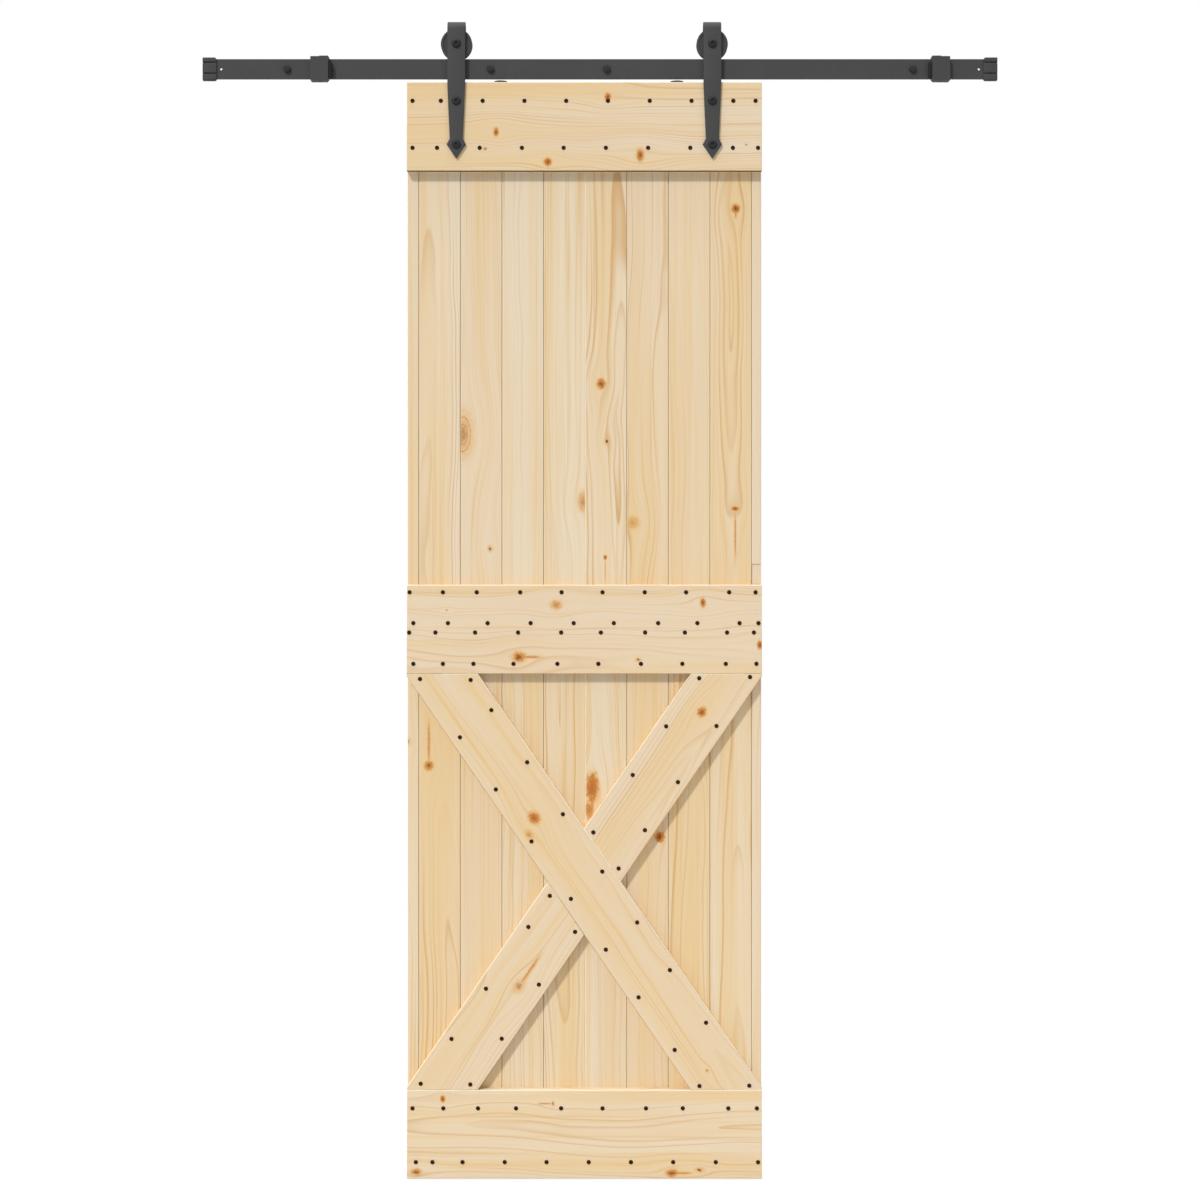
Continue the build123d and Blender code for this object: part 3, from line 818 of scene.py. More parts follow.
@dataclass
class Leaf:
    """The pine leaf: planks, ledgers and braces, each with its own grain and knots.

    Attributes:
        nodes: The CAD nodes by name.
        pine: The wood.
        form: What all knots have in common.
        columns: How many planks stand side by side.
        painted_lit_joints: The planks whose right joint gets a painted highlight instead of painted shade.
        brace_nose: The height of the blunt corner at a brace's end.
        seed: Starts the planks' random draws.
    """

    nodes: dict
    pine: Pine = Pine()
    form: KnotForm = KnotForm()
    columns: int = 10
    painted_lit_joints: tuple[int, ...] = (5, 10)
    brace_nose: float = 0.005
    seed: int = 41

    def lean(self) -> float:
        """Works out the braces' lean from the box of the cut board.

        Returns:
            The lean from upright, in radians.
        """
        low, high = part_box("brace_main")
        reach_x = (high.x - low.x) / 2
        reach_z = (high.z - low.z) / 2 - self.brace_nose
        return math.acos(Board.brace_width / 2 / math.hypot(reach_x, reach_z)) - math.atan2(reach_z, reach_x)

    def planks(self) -> list[Board]:
        """Picks the planks' logs, so that some show arches and others straight lines.

        Returns:
            The twenty planks.
        """
        arches = {("upper", 6): (0.016, 0.010, 0.0105, 0.050), ("upper", 9): (-0.004, 0.006, 0.0090, -0.060),
                  ("upper", 7): (0.030, 0.030, 0.0044, 0.008), ("upper", 2): (-0.030, 0.035, 0.0075, 0.015),
                  ("lower", 2): (0.010, 0.014, 0.0080, 0.040), ("lower", 5): (-0.006, 0.018, 0.0075, -0.045),
                  ("lower", 8): (0.004, 0.012, 0.0085, 0.035), ("lower", 9): (0.012, 0.02, 0.0085, 0.035)}
        arch_contrast = 0.8
        contrasts = {"upper": (0.20, 0.38), "lower": (0.32, 0.52)}
        tones = {"upper": ((0.35, 0.1), (0.3, 0.05), (0.36, 0.35), (0.08, 0.1), (0.22, 0.0), (0.36, 0.1),
                           (0.46, 0.3), (0.4, 0.2), (0.74, 0.2), (0.0, 0.3)),
                 "lower": ((0.5, 0.1), (0.62, 0.1), (0.62, 0.4), (0.5, 0.1), (0.62, 0.0), (0.35, 0.1),
                           (0.6, 0.55), (0.7, 0.2), (0.35, 0.1), (0.1, 0.3))}
        straight_least, straight_most = (0.04, 0.02, 0.0036, -0.02), (0.12, 0.08, 0.0060, 0.02)
        draw = np.random.default_rng(self.seed)
        made = []
        for tier, first_seed in (("upper", 0), ("lower", 20)):
            for column in range(1, self.columns + 1):
                away, under, wide, steep = draw.uniform(straight_least, straight_most)
                heart = away * (1 if column % 2 else -1)
                contrast = draw.uniform(*contrasts[tier])
                if (tier, column) in arches:
                    heart, under, wide, steep = arches[(tier, column)]
                    contrast = arch_contrast
                made.append(Board(f"plank_{tier}_{column:02d}", Grain.UPRIGHT, heart, under, wide, steep,
                                  *tones[tier][column - 1], contrast, float(column + first_seed),
                                  painted_lit_joint=column in self.painted_lit_joints))
        return made

    def boards(self) -> list[Board]:
        """Picks the logs of the boards on the planks.

        Returns:
            The ledgers and braces.
        """
        lean = self.lean()
        return [
            Board("top_ledger", Grain.LEVEL, 0.09, 0.05, 0.0050, 0.012, 0.50, 0.3, 0.62, 51.0, fade=0.8),
            Board("mid_ledger", Grain.LEVEL, -0.07, 0.05, 0.0050, -0.01, 0.2, 0.36, 0.5, 52.0),
            Board("bottom_ledger", Grain.LEVEL, 0.01, 0.016, 0.0080, 0.04, 0.36, 0.15, 0.55, 53.0),
            Board("brace_main", Grain.FALLING, 0.02, 0.045, 0.0052, 0.01, 0.40, 0.45, 0.5, 54.0,
                  lean=lean),
            Board("brace_upper_half", Grain.RISING, 0.01, 0.04, 0.0054, 0.02, 0.34, 0.4, 0.5, 55.0,
                  lean=lean),
            Board("brace_lower_half", Grain.RISING, -0.03, 0.05, 0.0052, -0.01, 0.34, 0.4, 0.5, 56.0,
                  lean=lean),
        ]

    def knots(self) -> dict[str, list[Knot]]:
        """Places the knots.

        Returns:
            Each board's knots, by its node.
        """
        low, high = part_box("top_ledger")

        def spot(across: float, drop: float, radius: float, warmth: float, stretch: float = 1.2,
                 tail: float = 0.0, whorl: float = 0.0, dark: float = 0.8) -> Knot:
            """A knot from its distance across the leaf, its drop below the top and its radius, in mm."""
            x, z = low.x + across * MM, high.z - drop * MM
            return Knot(x, z, radius * MM, warmth, stretch, tail, whorl, dark)

        return {
            "top_ledger": [spot(385, 29, 4.8, 1.0, 0.7), spot(171, 96, 5.2, 0.9, 0.6),
                           spot(270, 153, 4.6, 0.95, 1.0), spot(447, 140, 7.5, 0.85, 0.6),
                           spot(150, 128, 2.2, 0.6), spot(650, 120, 2.2, 0.3)],
            "mid_ledger": [spot(286, 1001, 5.7, 0.65, dark=0.35), spot(215, 1101, 6.2, 0.8, 1.4, -0.045),
                           spot(567, 997, 5.7, 0.85, 0.6), spot(443, 1106, 3.1, 0.5),
                           spot(676, 1078, 5.3, 0.9, 0.6), spot(77, 1011, 1.8, 0.2)],
            "bottom_ledger": [spot(69, 1947, 4.0, 0.95, 0.7), spot(280, 1956, 3.5, 0.5, 0.6, 0.03),
                              spot(508, 2089, 4.8, 0.8, 1.6, -0.04),
                              spot(561, 2083, 3.5, 0.5, 1.8), spot(18, 2087, 4.4, 0.7, 1.6)],
            "brace_main": [spot(244, 1409, 6.6, 0.85, dark=0.45), spot(234, 1441, 4.6, 0.55, dark=0.4),
                           spot(575, 1893, 2.6, 0.3)],
            "brace_upper_half": [spot(565, 1206, 5.3, 0.85)],
            "brace_lower_half": [spot(215, 1731, 6.6, 0.5, 1.3, 0.075, 0.5, 0.5)],
            "plank_upper_03": [spot(106, 674, 12.0, 0.55, 2.2, whorl=0.75, dark=0.4),
                               spot(159, 894, 3.5, 0.5)],
            "plank_upper_05": [spot(337, 803, 6.0, 0.6, 2.0, whorl=0.6, dark=0.35)],
            "plank_upper_06": [spot(372, 577, 5.3, 0.85), spot(383, 688, 4.0, 0.3, dark=1.0),
                               spot(380, 911, 2.0, 0.9, 1.5, -0.05)],
            "plank_upper_07": [spot(433, 844, 7.5, 0.55, 1.0, whorl=0.7, dark=0.2)],
            "plank_upper_09": [spot(631, 240, 5.0, 0.9, 1.1, -0.02, dark=1.0),
                               spot(630, 817, 4.2, 0.95, 0.6, -0.1, 0.3)],
            "plank_lower_01": [spot(1, 1265, 4.0, 0.4)],
            "plank_lower_02": [spot(41, 1311, 5.7, 0.8, 1.0, 0.09)],
            "plank_lower_06": [spot(355, 1353, 8.0, 0.9, 2.2, -0.05, 0.3, 0.3),
                               spot(349, 1396, 5.7, 0.75, 1.8, dark=0.3)],
            "plank_lower_07": [spot(485, 1448, 5.7, 0.9)],
        }

    def dress(self) -> None:
        """Gives every board its wood."""
        knots = self.knots()
        for board in self.planks() + self.boards():
            board.knots = knots.get(board.node, [])
            board.dress(self.pine, self.form, self.nodes)


@dataclass
class Studio:
    """The floor, the light, the world and the camera.

    Attributes:
        floor_drop: How far the floor lies below the leaf.
        floor_size: Its width and depth.
        floor_white: How bright it looks.
        floor_bounce: How much light it throws back.
        floor_shade: How clearly the leaf's shadow shows on it.
        distance: How far the camera stands from the wall.
        eye_drop: How far the camera is below the top of the leaf.
        lens: Its focal length in mm.
        shift: The lens's shift upwards.
        sun_way: Which way the sun's light goes.
        sun_power: The sun's strength.
        sun_spread: Its width in degrees.
        top_power: The strength of the light from above.
        top_spread: Its width in degrees.
        sky: How strongly the sky lights.
    """

    floor_drop: float = 0.004
    floor_size: float = 14.0
    floor_white: float = 0.93
    floor_bounce: float = 0.6
    floor_shade: float = 0.1
    distance: float = 4.0435
    eye_drop: float = 0.808
    lens: float = 62.68
    shift: float = -0.08
    sun_way: Vec = (0.606, 1.0, -1.12)
    sun_power: float = 1.98
    sun_spread: float = 6.0
    top_power: float = 1.42
    top_spread: float = 25.0
    sky: float = 0.47

    @staticmethod
    def seen(graph: NodeGraph) -> Signal:
        """Tells what the camera sees from what only lights the scene.

        Args:
            graph: The material or world being written.

        Returns:
            1 for rays from the camera, straight, mirrored or through glass, and 0 for the rest.
        """
        rays = graph.node("ShaderNodeLightPath").outputs
        mirrored = graph.math("MAXIMUM", rays["Is Glossy Ray"], rays["Is Transmission Ray"])
        return graph.math("MAXIMUM", rays["Is Camera Ray"], mirrored)

    def floor(self) -> None:
        """A pale level floor just under the leaf, white to the camera apart from the shadow on it."""
        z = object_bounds()[0][2] - self.floor_drop
        half = self.floor_size / 2
        data = bpy.data.meshes.new("studio_floor")
        data.from_pydata([(-half, -half, z), (half, -half, z), (half, half, z), (-half, half, z)],
                         [], [(0, 1, 2, 3)])
        floor = bpy.data.objects.new("studio_floor", data)
        bpy.context.scene.collection.objects.link(floor)
        graph = NodeGraph(bpy.data.materials.new("floor_white"))
        plain = graph.node("ShaderNodeBsdfDiffuse", {"Color": (self.floor_bounce,) * 3})
        faint = graph.node("ShaderNodeBsdfDiffuse", {"Color": (self.floor_shade,) * 3})
        glow = graph.node("ShaderNodeEmission", {"Strength": self.floor_white})
        both = graph.node("ShaderNodeAddShader", {0: faint, 1: glow})
        surface = graph.node("ShaderNodeMixShader", {0: self.seen(graph), 1: plain, 2: both})
        graph.node("ShaderNodeOutputMaterial", {"Surface": surface})
        data.materials.append(graph.owner)
        floor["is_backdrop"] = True

    def light(self) -> None:
        """A soft sun from the upper left in front, and a broad one from straight above."""
        lamps = (("studio_sun", self.sun_way, self.sun_power, self.sun_spread),
                 ("studio_top", (0.0, 0.0, -1.0), self.top_power, self.top_spread))
        for name, way, power, spread in lamps:
            lamp = bpy.data.lights.new(name, "SUN")
            lamp.energy = power
            lamp.angle = math.radians(spread)
            sun = bpy.data.objects.new(name, lamp)
            bpy.context.scene.collection.objects.link(sun)
            sun.rotation_euler = Vector(way).to_track_quat("-Z", "Y").to_euler()

    def world(self) -> None:
        """An even sky that lights softly and looks white."""
        graph = NodeGraph(bpy.data.worlds.new("studio_world"))
        bpy.context.scene.world = graph.owner
        strength = self.seen(graph) * (1.0 - self.sky) + self.sky
        back = graph.node("ShaderNodeBackground", {"Color": (1.0, 1.0, 1.0), "Strength": strength})
        graph.node("ShaderNodeOutputWorld", {"Surface": back})

    def camera(self) -> None:
        """A level camera straight in front, as in the photograph."""
        lens = bpy.data.cameras.new("studio_camera")
        lens.sensor_width = 36.0
        lens.lens = self.lens
        lens.shift_y = self.shift
        lens.clip_end = 60.0
        camera = bpy.data.objects.new("studio_camera", lens)
        camera.location = (0.0, -self.distance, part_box("top_ledger")[1].z - self.eye_drop)
        camera.rotation_euler = (math.pi / 2, 0.0, 0.0)
        bpy.context.scene.collection.objects.link(camera)
        bpy.context.scene.camera = camera

    def build(self) -> None:
        """Sets the whole studio."""
        bpy.context.scene.view_settings.view_transform = "Standard"
        self.floor()
        self.light()
        self.world()
        self.camera()


@dataclass(frozen=True)
class Leg:
    """A stretch of a strap's path.

    Attributes:
        y: Depth of the middle line.
        z: Height of the middle line.
        width: The strap's width there.
    """

    y: float
    z: float
    width: float


@dataclass
class Hanger:
    """One hanger: the bent strap, and its wheel with bearing.

    Attributes:
        side: "left" or "right".
        finishes: The coats.
        thickness: The strap's thickness.
        waist: The height, from the rail's middle, at which the strap starts to narrow.
        neck: Where the arrow starts, from the rail's middle.
        shoulder: Where the arrow is widest, from the rail's middle.
        neck_width: The strap's width above the arrow.
        full_width: The strap's width at the wheel.
        back_end: Where the back leg ends, from the rail's middle.
        edge: The radius of the strap's eased edges.
        blunt: How far its ends and corners are blunted.
        end_share: The share of its thickness that its blunted ends keep.
    """

    side: str
    finishes: Finishes
    thickness: float = 0.005
    waist: float = -0.0318
    neck: float = -0.1358
    shoulder: float = -0.1458
    neck_width: float = 0.025
    full_width: float = 0.034
    back_end: float = 0.030
    edge: float = 0.0007
    blunt: float = 0.0006
    end_share: float = 0.82

    def __post_init__(self) -> None:
        """Reads the hanger's place from its CAD pieces."""
        low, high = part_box("hanger_strap_" + self.side)
        self.x = (low.x + high.x) / 2
        self.front, self.back = low.y, high.y
        self.tip, self.top = low.z, high.z
        self.arrow_width = high.x - low.x
        wheel_low, wheel_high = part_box("wheel_" + self.side)
        self.axle = ((wheel_low.x + wheel_high.x) / 2, (wheel_low.z + wheel_high.z) / 2)
        self.middle = (self.front + self.back) / 2

    def path(self) -> list[Leg]:
        """Lays out the strap's path: up from the arrow's tip, over the wheel, and down behind.

        Returns:
            The path's stretches.
        """
        half, blunt, full, soft = self.thickness / 2, self.blunt, self.full_width, 0.0008
        front, back = self.front + half, self.back - half
        bend = (self.back - self.front) / 2 - half
        bend_z = self.top - (self.back - self.front) / 2
        widths = [(self.tip, 2 * blunt), (self.shoulder - blunt, self.arrow_width - blunt),
                  (self.shoulder, self.arrow_width), (self.shoulder + blunt, self.arrow_width - 2 * blunt),
                  (self.neck, self.neck_width), (self.waist, full), (self.waist + soft, full)]
        legs = [Leg(front, z, width) for z, width in widths]
        legs += [Leg(self.middle + bend * math.cos(angle), bend_z + bend * math.sin(angle), full)
                 for angle in np.linspace(math.pi, 0, 21)]
        return legs + [Leg(back, self.back_end + blunt, full), Leg(back, self.back_end, full - 2 * blunt)]

    def strap(self) -> None:
        """Sweeps a flat bar with eased edges along the path.

        Each cross-section is a rounded rectangle, turned to stand square to the path. Its corners are
        quarter circles: corner centre + edge radius · (cos a, sin a).
        """
        legs = self.path()
        line = np.array([(leg.y, leg.z) for leg in legs])
        along = np.gradient(line, axis=0)
        along /= np.linalg.norm(along, axis=1, keepdims=True)
        out = np.stack([-along[:, 1], along[:, 0]], axis=1)
        corner = 4
        quarters = (0, math.pi / 2, math.pi, 1.5 * math.pi)
        angles = np.concatenate([np.linspace(start, start + math.pi / 2, corner) for start in quarters])
        way_x = np.repeat([1, -1, -1, 1], corner)
        way_t = np.repeat([1, 1, -1, -1], corner)
        widths = np.array([leg.width for leg in legs])
        edge = np.minimum(self.edge, widths * 0.3)[:, None]
        x = self.x + way_x * (widths[:, None] / 2 - edge) + edge * np.cos(angles)
        t = way_t * (self.thickness / 2 - edge) + edge * np.sin(angles)
        t[[0, -1]] *= self.end_share
        y = line[:, :1] + t * out[:, :1]
        z = line[:, 1:] + t * out[:, 1:]
        Surfaces.piece(f"strap_{self.side}", Surfaces.loft(np.stack([x, y, z], axis=-1)), self.finishes.steel,
                       "door", f"hanger_strap_{self.side}", "coated_steel", 28.0)

    def spun(self, name: str, face: list[Pair], sides: int, coat: bpy.types.Material, node: str, slot: str,
             sharp: float = 32.0) -> None:
        """Mirrors the front half of an outline to the back and turns it about the axle.

        Args:
            name: The start of the piece's name.
            face: Pairs of radius and y from the wheel's middle, from the bore out.
            sides: The number of steps round.
            coat: Its finish.
            node: The start of the CAD node's name.
            slot: The record's material slot.
            sharp: The angle in degrees past which an edge stays sharp.
        """
        outline = face + [(radius, -y) for radius, y in reversed(face)]
        outline = [(radius, self.middle + y) for radius, y in outline]
        Surfaces.piece(f"{name}_{self.side}", Surfaces.turned(outline, self.axle, sides, closed=True), coat,
                       f"wheel_{self.side}", f"{node}_{self.side}", slot, sharp)

    def wheel(self) -> None:
        """Turns the grooved wheel: hub, dished face, rounded rim, and a groove that clears the rail."""
        low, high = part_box("wheel_" + self.side)
        rim = (high.x - low.x) / 2
        half = (high.y - low.y) / 2
        bore, bore_ease, hub, dish, lip = 0.013, 0.0004, 0.0165, 0.0012, 0.0045
        tread, mouth, floor, round_off, ease = rim - 0.0025, 0.005, 0.004, 0.0011, 0.0003
        face = [(bore, -half + bore_ease), (bore + bore_ease, -half), (hub, -half),
                (hub + dish, -half + dish), (rim - lip - dish, -half + dish), (rim - lip, -half)]
        face += [(rim - round_off + round_off * math.cos(a), -half + round_off + round_off * math.sin(a))
                 for a in np.linspace(-math.pi / 2, 0, 5)]
        face += [(rim, -mouth - ease), (rim - ease, -mouth), (tread + ease, -floor), (tread, -floor + ease)]
        self.spun("grooved_wheel", face, 128, self.finishes.wheel, "wheel", "wheel_steel", 30.0)

    def bearing(self) -> None:
        """Turns the bearing's outer ring with its sunk shields."""
        low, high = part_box("bearing_" + self.side)
        outer = (high.x - low.x) / 2
        half = (high.y - low.y) / 2
        inner, ring, sunk, ease = 0.00755, 0.0021, 0.0005, 0.0003
        face = [(inner, -half + sunk), (outer - ring - ease, -half + sunk), (outer - ring, -half),
                (outer - ease, -half), (outer, -half + ease)]
        self.spun("sealed_bearing", face, 72, self.finishes.bearing, "bearing", "bearing_steel")

    def build(self) -> None:
        """Makes the hanger's own pieces."""
        self.strap()
        self.wheel()
        self.bearing()


@dataclass(frozen=True)
class Fastener:
    """A shape about an axis along Y, which stands in several places.

    Attributes:
        outer: The head's or tube's radius, or a hexagon's width across flats.
        inner: The radius of its shank or bore.
        seat: The y of the face that its head stands on, where it has a head.
        sides: The number of steps round.
    """

    outer: float
    inner: float
    seat: float = 0.0
    sides: int = 48

    def shell(self, place: Pair, front: float, end: float) -> Shell:
        """Makes it in one place.

        Args:
            place: The axis, as x and z.
            front: The y at which it starts.
            end: The y at which it ends.

        Returns:
            Points and faces.
        """
        raise NotImplementedError


@dataclass(frozen=True)
class Bolt(Fastener):
    """A low domed bolt with a hexagon socket.

    Attributes:
        socket_share: The socket's share of the head's radius.
        socket_fit: How far the hexagon is drawn in, to leave the dome's rim whole.
        ease: The size of the shank's end edge.
    """

    socket_share: float = 0.405
    socket_fit: float = 0.93
    ease: float = 0.0007

    def shell(self, place: Pair, front: float, end: float) -> Shell:
        """Turns the bolt, then draws the socket's two rings out to a hexagon's radius at each angle.

        Args:
            place: The axis, as x and z.
            front: The y at which it starts.
            end: The y at which it ends.

        Returns:
            Points and faces.
        """
        rise, head, key = self.seat - front, self.outer, self.outer * self.socket_share
        pit = [(0.0, front + rise * 0.6), (key * 0.98, front + rise * 0.55), (key, front + 0.0002)]
        dome = [(key * 1.25, front), (head * 0.72, front + rise * 0.12), (head * 0.93, front + rise * 0.45),
                (head, front + rise * 0.78), (head, self.seat)]
        shank = [(self.inner, self.seat), (self.inner, end - self.ease), (self.inner - self.ease, end),
                 (0.0, end)]
        points, faces = Surfaces.turned(pit + dome + shank, place, self.sides)
        angle = np.tile(Surfaces.angles(self.sides), 2)
        stretch = Surfaces.hexagon(angle + math.pi / 6, 2.0)[:, None] * self.socket_fit
        socket = points[:2 * self.sides, ::2]
        points[:2 * self.sides, ::2] = place + (socket - place) * stretch
        return points, faces


@dataclass(frozen=True)
class Nut(Fastener):
    """A hexagon nut whose corners are turned off at its outer face.

    Attributes:
        corner: The share of half its width across flats at which its corners lie.
        worn: The same where they are partly turned off.
        face: The same at its outer face.
        drop_share: The height of the turned part, as a share of its width across flats.
    """

    sides: int = 72
    corner: float = 1.16
    worn: float = 1.06
    face: float = 0.95
    drop_share: float = 0.08

    def shell(self, place: Pair, front: float, end: float) -> Shell:
        """Stacks rings whose radius is the lesser of the hexagon's and a cone's.

        Args:
            place: The axis, as x and z.
            front: The y at which it starts.
            end: The y at which it ends.

        Returns:
            Points and faces.
        """
        hexagon = Surfaces.hexagon(Surfaces.angles(self.sides), self.outer)
        corner, worn, face = (np.minimum(hexagon, self.outer / 2 * share)
                              for share in (self.corner, self.worn, self.face))
        drop = self.outer * self.drop_share
        rows = [(front, self.inner), (front, corner), (end - drop, corner), (end - drop * 0.35, worn),
                (end, face), (end, self.inner)]
        points = Surfaces.rings(place, rows, self.sides).reshape(-1, 3)
        return points, Surfaces.quads(len(rows), self.sides, closed=True)


@dataclass(frozen=True)
class Tube(Fastener):
    """A tube with eased ends.

    Attributes:
        ease: The size of its end edges.
    """

    sides: int = 64
    ease: float = 0.0005

    def shell(self, place: Pair, front: float, end: float) -> Shell:
        """Turns the tube.

        Args:
            place: The axis, as x and z.
            front: The y at which it starts.
            end: The y at which it ends.

        Returns:
            Points and faces.
        """
        eased = self.outer - self.ease
        profile = [(self.inner, front), (eased, front), (self.outer, front + self.ease),
                   (self.outer, end - self.ease), (eased, end), (self.inner, end)]
        return Surfaces.turned(profile, place, self.sides, closed=True)


@dataclass(frozen=True)
class LagBolt(Fastener):
    """A lag bolt with a hexagon head, a round flange, a plain shank and a spiral thread.

    Attributes:
        thread: The thread's outer radius.
        pitch: The thread's pitch.
        steps: Rings in a turn of the thread.
        start: Where the thread starts, behind the wall's face.
        taper: The length of the tip.
        blunt: How far before its end the last ring lies.
        core_share: The core's share of the thread's radius.
        flange: The flange's share of half the width across flats.
    """

    sides: int = 36
    thread: float = 0.004
    pitch: float = 0.0032
    steps: int = 8
    start: float = 0.0008
    taper: float = 0.024
    blunt: float = 0.0004
    core_share: float = 0.74
    flange: float = 1.16

    def shell(self, place: Pair, front: float, end: float) -> Shell:
        """Stacks the bolt's rings.

        On the thread the radius is core + height · ridge(y / pitch - a / 360°), and ridge rises and falls
        once a turn. Towards the tip core and height shrink to nothing.

        Args:
            place: The axis, as x and z.
            front: The y at which it starts.
            end: The y at which it ends.

        Returns:
            Points and faces.
        """
        angle = Surfaces.angles(self.sides)
        hexagon = Surfaces.hexagon(angle, self.outer)
        head = [(front, 0.9), (front + 0.0005, 1.03), (front + 0.0011, self.flange), (self.seat, self.flange)]
        rows = [(y, np.minimum(hexagon, self.outer / 2 * share)) for y, share in head]
        rows += [(self.seat, self.inner), (0.0, self.inner)]
        core = self.thread * self.core_share
        count = int((end - self.start) / self.pitch * self.steps)
        for y in np.linspace(self.start, end - self.blunt, count):
            wave = (y / self.pitch - angle / (2 * math.pi)) % 1.0
            ridge = np.clip(1 - np.abs(wave - 0.5) * 4.0, 0, 1)
            rows.append((y, (core + (self.thread - core) * ridge) * min(1.0, (end - y) / self.taper)))
        return Surfaces.loft(Surfaces.rings(place, rows, self.sides))


@dataclass(frozen=True)
class WoodScrew(Fastener):
    """A wood screw with a low dome and a cross recess, of a few dozen faces.

    Attributes:
        neck: The length of the cone under its head.
        tip: The length of its tip.
    """

    sides: int = 16
    neck: float = 0.0025
    tip: float = 0.005

    def shell(self, place: Pair, front: float, end: float) -> Shell:
        """Stacks rings. The recess is deep on the cross's four arms and shallow between them.

        Args:
            place: The axis, as x and z.
            front: The y at which it starts.
            end: The y at which it ends.

        Returns:
            Points and faces.
        """
        arm = np.where(np.arange(self.sides) % 4 == 0, 1.0, 0.0)
        rise, head = self.seat - front, self.outer
        rows = [(front + rise * 0.9, head * 0.2),
                (front + rise * (0.12 + 0.55 * arm), head * (0.26 + 0.3 * arm)), (front, head * 0.62),
                (front + rise * 0.35, head * 0.9), (self.seat, head), (self.seat + self.neck, head * 0.48),
                (end - self.tip, self.inner), (end, head * 0.06)]
        return Surfaces.loft(Surfaces.rings(place, rows, self.sides))


@dataclass
class Fasteners:
    """Bolts, nuts, sleeves, lag bolts, spacers and wood screws, each shape set out in its node's places.

    Attributes:
        nodes: The CAD nodes by name.
        finishes: The coats.
        reach: No two fasteners of a node are nearer than this.
        screw_reach: The same for wood screws.
    """

    nodes: dict
    finishes: Finishes
    reach: float = 0.03
    screw_reach: float = 0.0095

    def places(self, node: str, reach: float) -> list[Pair]:
        """Where a node's separate solids stand.

        Args:
            node: The CAD node.
            reach: No two solids' middles are nearer than this.

        Returns:
            The middle of each solid as x and z, left to right.
        """
        mesh = self.nodes[node].data
        flat = np.zeros(len(mesh.vertices) * 3, np.float32)
        mesh.vertices.foreach_get("co", flat)
        left = flat.reshape(-1, 3)[:, [0, 2]].astype(float)
        found = []
        while len(left):
            near = np.hypot(*(left - left[0]).T) < reach
            group = left[near]
            found.append(tuple((group.min(0) + group.max(0)) / 2))
            left = left[~near]
        return sorted(found)

    def row(self, name: str, node: str, kind: Fastener, reach: float, coat: bpy.types.Material, body: str,
            slot: str) -> None:
        """Makes the piece that stands for a node full of fasteners.

        Args:
            name: The piece's name.
            node: The CAD node that it replaces.
            kind: The fastener.
            reach: No two of them are nearer than this.
            coat: Their finish.
            body: The body that they ride on.
            slot: The record's material slot.
        """
        low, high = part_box(node)
        shells = [kind.shell(place, low.y, high.y) for place in self.places(node, reach)]
        Surfaces.piece(name, Surfaces.joined(shells), coat, body, node, slot)

    def build(self) -> None:
        """Makes every fastener in the places of its CAD piece."""
        strap, rail, board = (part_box(node)[0].y for node in ("hanger_strap_left", "rail", "top_ledger"))
        black = (self.finishes.fastener, "door", "fastener_steel")
        rows = [("strap_bolts", "hanger_bolts", Bolt(0.0085, 0.004, strap), *black),
                ("wheel_bolts", "axle_bolts", Bolt(0.0085, 0.005, strap), *black),
                ("strap_nuts", "hanger_nuts", Nut(0.013, 0.004), *black),
                ("wheel_nuts", "axle_nuts", Nut(0.016, 0.005), *black),
                ("wheel_sleeves", "bearing_sleeves", Tube(0.0075, 0.005),
                 self.finishes.bearing, "door", "bearing_steel"),
                ("spacer_tubes", "rail_spacers", Tube(0.011, 0.0043),
                 self.finishes.steel, "rail_set", "coated_steel"),
                ("rail_lag_bolts", "lag_bolts", LagBolt(0.013, 0.0037, rail),
                 self.finishes.fastener, "rail_set", "fastener_steel")]
        for name, node, kind, coat, body, slot in rows:
            self.row(name, node, kind, self.reach, coat, body, slot)
        head = 0.0042
        screw = WoodScrew(head, head * 0.42, board)
        for board_name in ("top_ledger", "mid_ledger", "bottom_ledger", "braces"):
            self.row("wood_screws_" + board_name, "screws_" + board_name, screw, self.screw_reach,
                     self.finishes.screw, "door", "screw_steel")


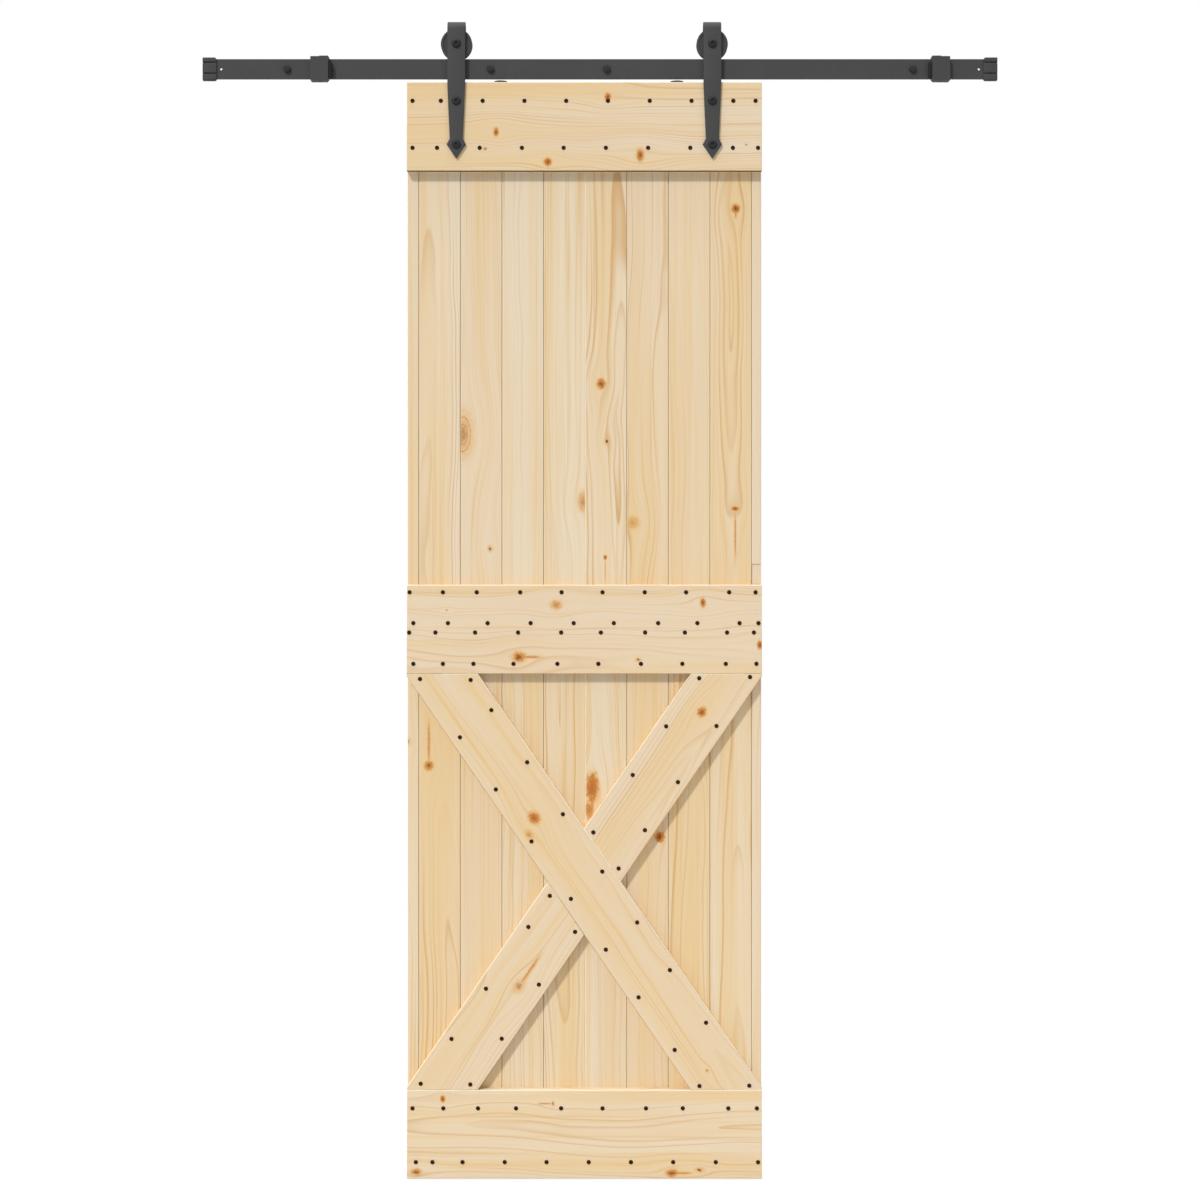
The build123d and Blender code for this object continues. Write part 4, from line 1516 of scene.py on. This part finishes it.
@dataclass
class RailDress:
    """The rail bar, its stops with bumpers, its end caps and the anti-jump discs.

    Attributes:
        nodes: The CAD nodes by name.
        finishes: The coats.
        disc_share: The share of their height that the discs keep.
        rib_ends: Where a cap's ribs end, below its top.
        rib_round: The radius of a cap's outer corners.
        valley_depth: The depth of the valleys between a cap's ribs.
        valley_width: Their half width.
        cap_ease: The radius of a cap's end edges.
        cap_cut: How much its corners towards the rail are cut off.
        cap_steps: Points on each side of a cap's outline.
    """

    nodes: dict
    finishes: Finishes
    disc_share: float = 0.68
    rib_ends: Pair = (0.010, 0.031)
    rib_round: float = 0.0026
    valley_depth: float = 0.0028
    valley_width: float = 0.0013
    cap_ease: float = 0.001
    cap_cut: float = 0.0035
    cap_steps: int = 90

    def eased(self, node: str, name: str, edge: float, coat: bpy.types.Material, body: str, slot: str,
              angle: float = 50.0, height_share: float = 1.0) -> None:
        """A copy of a CAD piece with its sharp edges eased.

        Args:
            node: The CAD node.
            name: The new piece's name.
            edge: The radius of the easing.
            coat: Its finish.
            body: The body that it rides on.
            slot: Not used.
            angle: Edges sharper than this are eased.
            height_share: The share of its height above the leaf's top that it keeps.
        """
        data = self.nodes[node].data.copy()
        data.name = name
        shape = bmesh.new()
        shape.from_mesh(data)
        bmesh.ops.remove_doubles(shape, verts=shape.verts, dist=1e-6)
        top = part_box("top_ledger")[1].z
        for vertex in shape.verts:
            if height_share < 1.0 and vertex.co.z > top:
                vertex.co.z = top + (vertex.co.z - top) * height_share
        bmesh.ops.dissolve_limit(shape, angle_limit=math.radians(0.5), verts=shape.verts, edges=shape.edges,
                                 delimit={"NORMAL"})
        shape.to_mesh(data)
        shape.free()
        data.materials.clear()
        data.materials.append(coat)
        data.shade_smooth()
        data.set_sharp_from_angle(angle=math.radians(50))
        piece = bpy.data.objects.new(name, data)
        bevel = piece.modifiers.new("eased_edges", "BEVEL")
        bevel.width = edge
        bevel.segments = 2
        bevel.limit_method = "ANGLE"
        bevel.angle_limit = math.radians(angle)
        tie(piece, body, node)

    def end_cap(self, side: str) -> None:
        """A moulded cap with three ribs, its corners cut off towards the rail.

        The cap's half depth is a function of height: full depth, less a round valley,
        depth · exp(-(height / width)²), between each two ribs, and less a quarter circle at the top and
        bottom. This outline is carried along the rail, shrinking a little at both ends.

        Args:
            side: "left" or "right".
        """
        low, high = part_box("end_cap_" + side)
        out = 1 if side == "right" else -1
        outer, inner = (high.x, low.x) if out > 0 else (low.x, high.x)
        length, total = abs(outer - inner), high.z - low.z
        half, middle_y, middle_z = (high.y - low.y) / 2, (low.y + high.y) / 2, (low.z + high.z) / 2
        ease, hair, nearly = self.cap_ease, 0.0003, 0.0001
        share = (1 - np.cos(np.linspace(nearly, math.pi - nearly, self.cap_steps))) / 2
        rings = []
        near_rail = (length - self.cap_cut, length - ease, length - hair, length)
        for d in (0.0, hair, ease, length * 0.5, *near_rail):
            edge = max(0.0, ease - d, ease - (length - d))
            shrink = ease - math.sqrt(max(ease * ease - edge * edge, 0.0))
            reach = total / 2 - shrink - max(0.0, self.cap_cut - (length - d))
            z = reach * (1 - 2 * share)
            corner = np.clip(self.rib_round - (reach - np.abs(z)), 0, None)
            arc = np.sqrt(np.clip(self.rib_round ** 2 - corner ** 2, 0, None))
            depth = half - shrink - self.rib_round + arc
            for rib in self.rib_ends:
                depth = depth - self.valley_depth * np.exp(-((z - total / 2 + rib) / self.valley_width) ** 2)
            y = np.concatenate([-depth, depth[::-1]])
            rings.append(np.stack([np.full(2 * self.cap_steps, outer - out * d), middle_y + y,
                                   middle_z + np.concatenate([z, z[::-1]])], axis=-1))
        Surfaces.piece(f"rail_cap_{side}", Surfaces.loft(np.array(rings)), self.finishes.cap, "rail_set",
                       f"end_cap_{side}", "cap_plastic", 40.0)

    def build(self) -> None:
        """Makes the rail's pieces, and the discs and their screws."""
        coats = self.finishes
        for side in ("left", "right"):
            self.eased(f"stop_block_{side}", f"rail_stop_{side}", 0.0008, coats.steel, "rail_set",
                       "coated_steel", 35.0)
            self.end_cap(side)
            self.eased(f"stop_bumper_{side}", f"bumper_{side}", 0.0004, coats.rubber, "rail_set",
                       "bumper_rubber")
        self.eased("rail", "rail_bar", 0.0006, coats.steel, "rail_set", "coated_steel")
        self.eased("anti_jump_discs", "guard_discs", 0.0004, coats.cap, "door", "cap_plastic",
                   height_share=self.disc_share)
        self.eased("disc_screws", "guard_screws", 0.0001, coats.fastener, "door", "fastener_steel",
                   height_share=self.disc_share)


def dress_hardware(nodes: dict, finishes: Finishes) -> None:
    """Gives the CAD pieces of the hardware their coats.

    Args:
        nodes: The CAD nodes by name.
        finishes: The coats.
    """
    boards = ("plank_", "top_", "mid_", "bottom_", "brace_")
    coats = {"rail": finishes.steel, "hanger_strap": finishes.steel, "stop_block": finishes.steel,
             "stop_bumper": finishes.rubber, "end_cap": finishes.cap, "anti_jump": finishes.cap,
             "bearing": finishes.bearing, "wheel": finishes.wheel, "screws_": finishes.screw}
    for name, node in nodes.items():
        if name.startswith(boards):
            continue
        coat = next((coat for start, coat in coats.items() if name.startswith(start)), finishes.fastener)
        node.data.materials.clear()
        node.data.materials.append(coat)


def main() -> None:
    """Builds the dressed door."""
    logging.basicConfig(level=logging.INFO, format="%(name)s: %(message)s")
    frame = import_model()
    Studio().build()
    finishes = Finishes.build()
    dress_hardware(frame["nodes"], finishes)
    Leaf(frame["nodes"]).dress()
    for side in ("left", "right"):
        Hanger(side, finishes).build()
    Fasteners(frame["nodes"], finishes).build()
    RailDress(frame["nodes"], finishes).build()


if __name__ == "__main__":
    main()
